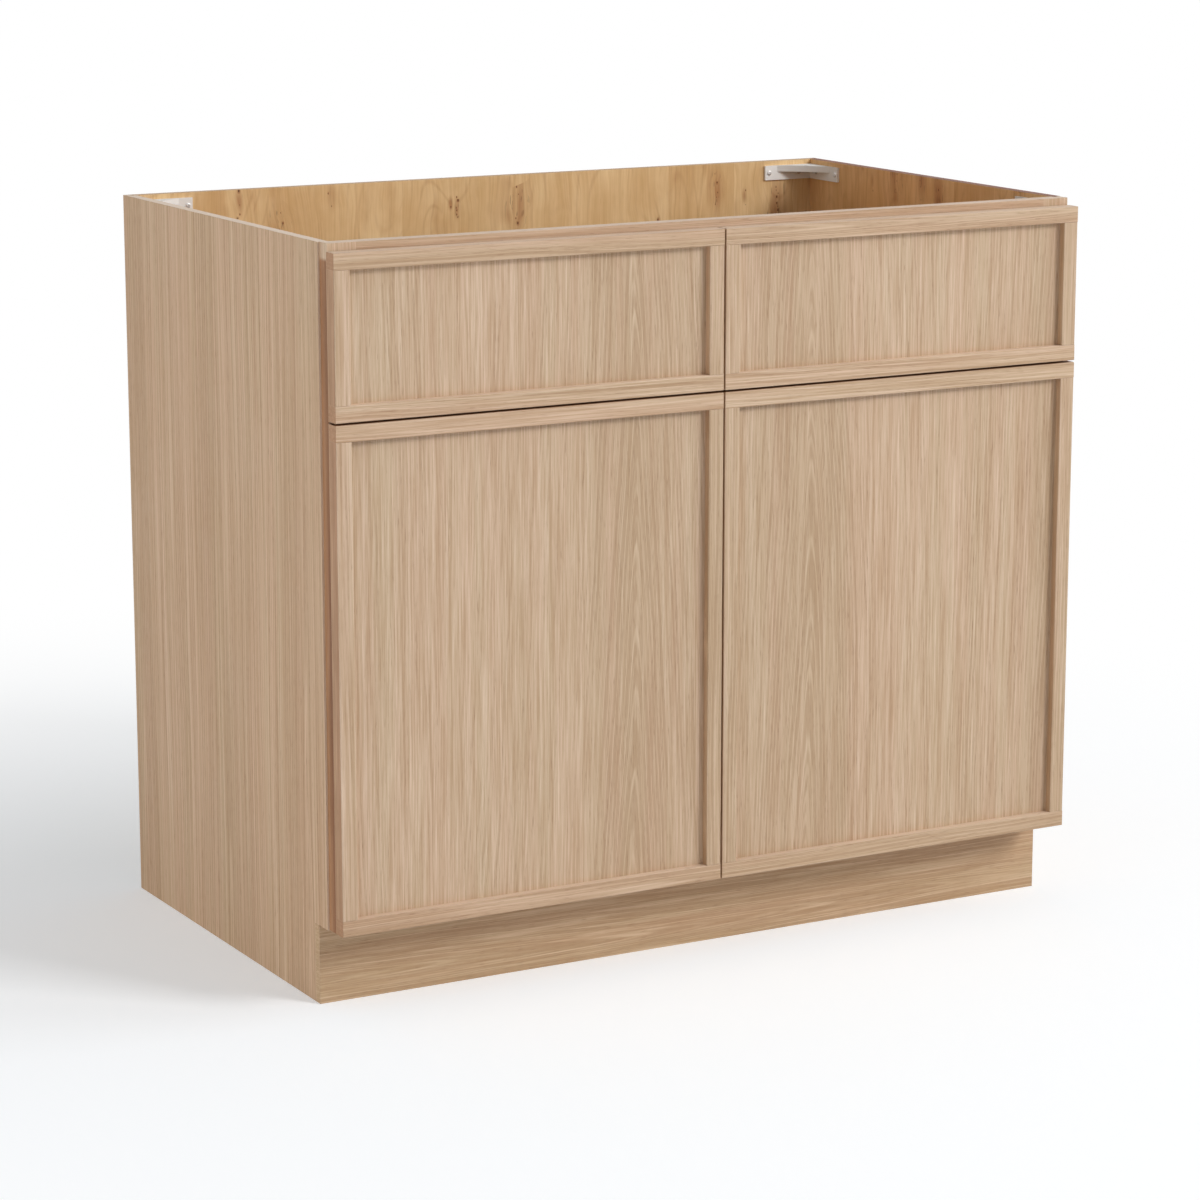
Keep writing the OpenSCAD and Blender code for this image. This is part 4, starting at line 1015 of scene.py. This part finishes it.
def floor():
    """A white floor that keeps the object's shadow and fades into plain white away from it."""
    mesh = bpy.data.meshes.new("floor")
    corners = [(x * FLOOR_HALF, y * FLOOR_HALF, 0) for x, y in ((-1, -1), (1, -1), (1, 1), (-1, 1))]
    mesh.from_pydata(corners, [], [(0, 1, 2, 3)])
    o = bpy.data.objects.new("floor", mesh)
    scene.collection.objects.link(o)
    material, t, b = shader("floor")
    place, normal = t.surface()
    mottle = t.ramp(t.noise(place, 3.0), 0.3, 0.7, 0.0, 0.02)
    t.put(b.inputs["Base Color"], t.mix(mottle, FLOOR_PALE, FLOOR_DEEP))
    b.inputs["Roughness"].default_value = 0.9
    b.inputs["Specular IOR Level"].default_value = 0.1
    shown = t.shown()
    lift = t.new("ShaderNodeEmission", {"Color": FLOOR_LIFT, "Strength": shown})
    near = t.new("ShaderNodeAddShader", {0: b.outputs[0], 1: lift.outputs[0]})
    far = t.new("ShaderNodeEmission", {"Color": WHITE, "Strength": 1.0})
    away = t.ramp(t.vec("LENGTH", t.vec("SUBTRACT", place, FADE_AT)), FADE_FROM, FADE_TO)
    both = t.new("ShaderNodeMixShader", {0: t.mul(away, shown), 1: near.outputs[0], 2: far.outputs[0]})
    t.put(output_of(material.node_tree, "OUTPUT_MATERIAL"), both.outputs[0])
    mesh.materials.append(material)


def area(name, at, aim, width, height, watts):
    """A lamp that looks from one point at another and isn't seen itself."""
    lamp = bpy.data.lights.new(name, "AREA")
    lamp.shape = "RECTANGLE"
    lamp.size, lamp.size_y, lamp.energy = width, height, watts
    o = bpy.data.objects.new(name, lamp)
    o.location = at
    o.rotation_euler = (Vector(aim) - Vector(at)).to_track_quat("-Z", "Y").to_euler()
    o.visible_camera = False
    scene.collection.objects.link(o)


floor()

world = bpy.data.worlds.new("studio")
scene.world = world
world.use_nodes = True
t = Tree(world.node_tree)
room = world.node_tree.nodes["Background"]
t.put(room.inputs["Color"], WHITE)
t.put(room.inputs["Strength"], ROOM_LIGHT)
backdrop = t.new("ShaderNodeBackground", {"Color": WHITE, "Strength": 1.0})
blend = t.new("ShaderNodeMixShader", {0: t.shown(), 1: room.outputs[0], 2: backdrop.outputs[0]})
t.put(output_of(world.node_tree, "OUTPUT_WORLD"), blend.outputs[0])

for name, lamp in LAMPS.items():
    area(name, *lamp)

camera = bpy.data.cameras.new("camera")
camera.lens = LENS
camera.sensor_width = SENSOR
eye = bpy.data.objects.new("camera", camera)
eye.location = EYE_AT
eye.rotation_euler = (math.radians(90.0 - EYE_DOWN), 0.0, math.radians(EYE_TURN))
scene.collection.objects.link(eye)
scene.camera = eye
scene.view_settings.view_transform = "Standard"
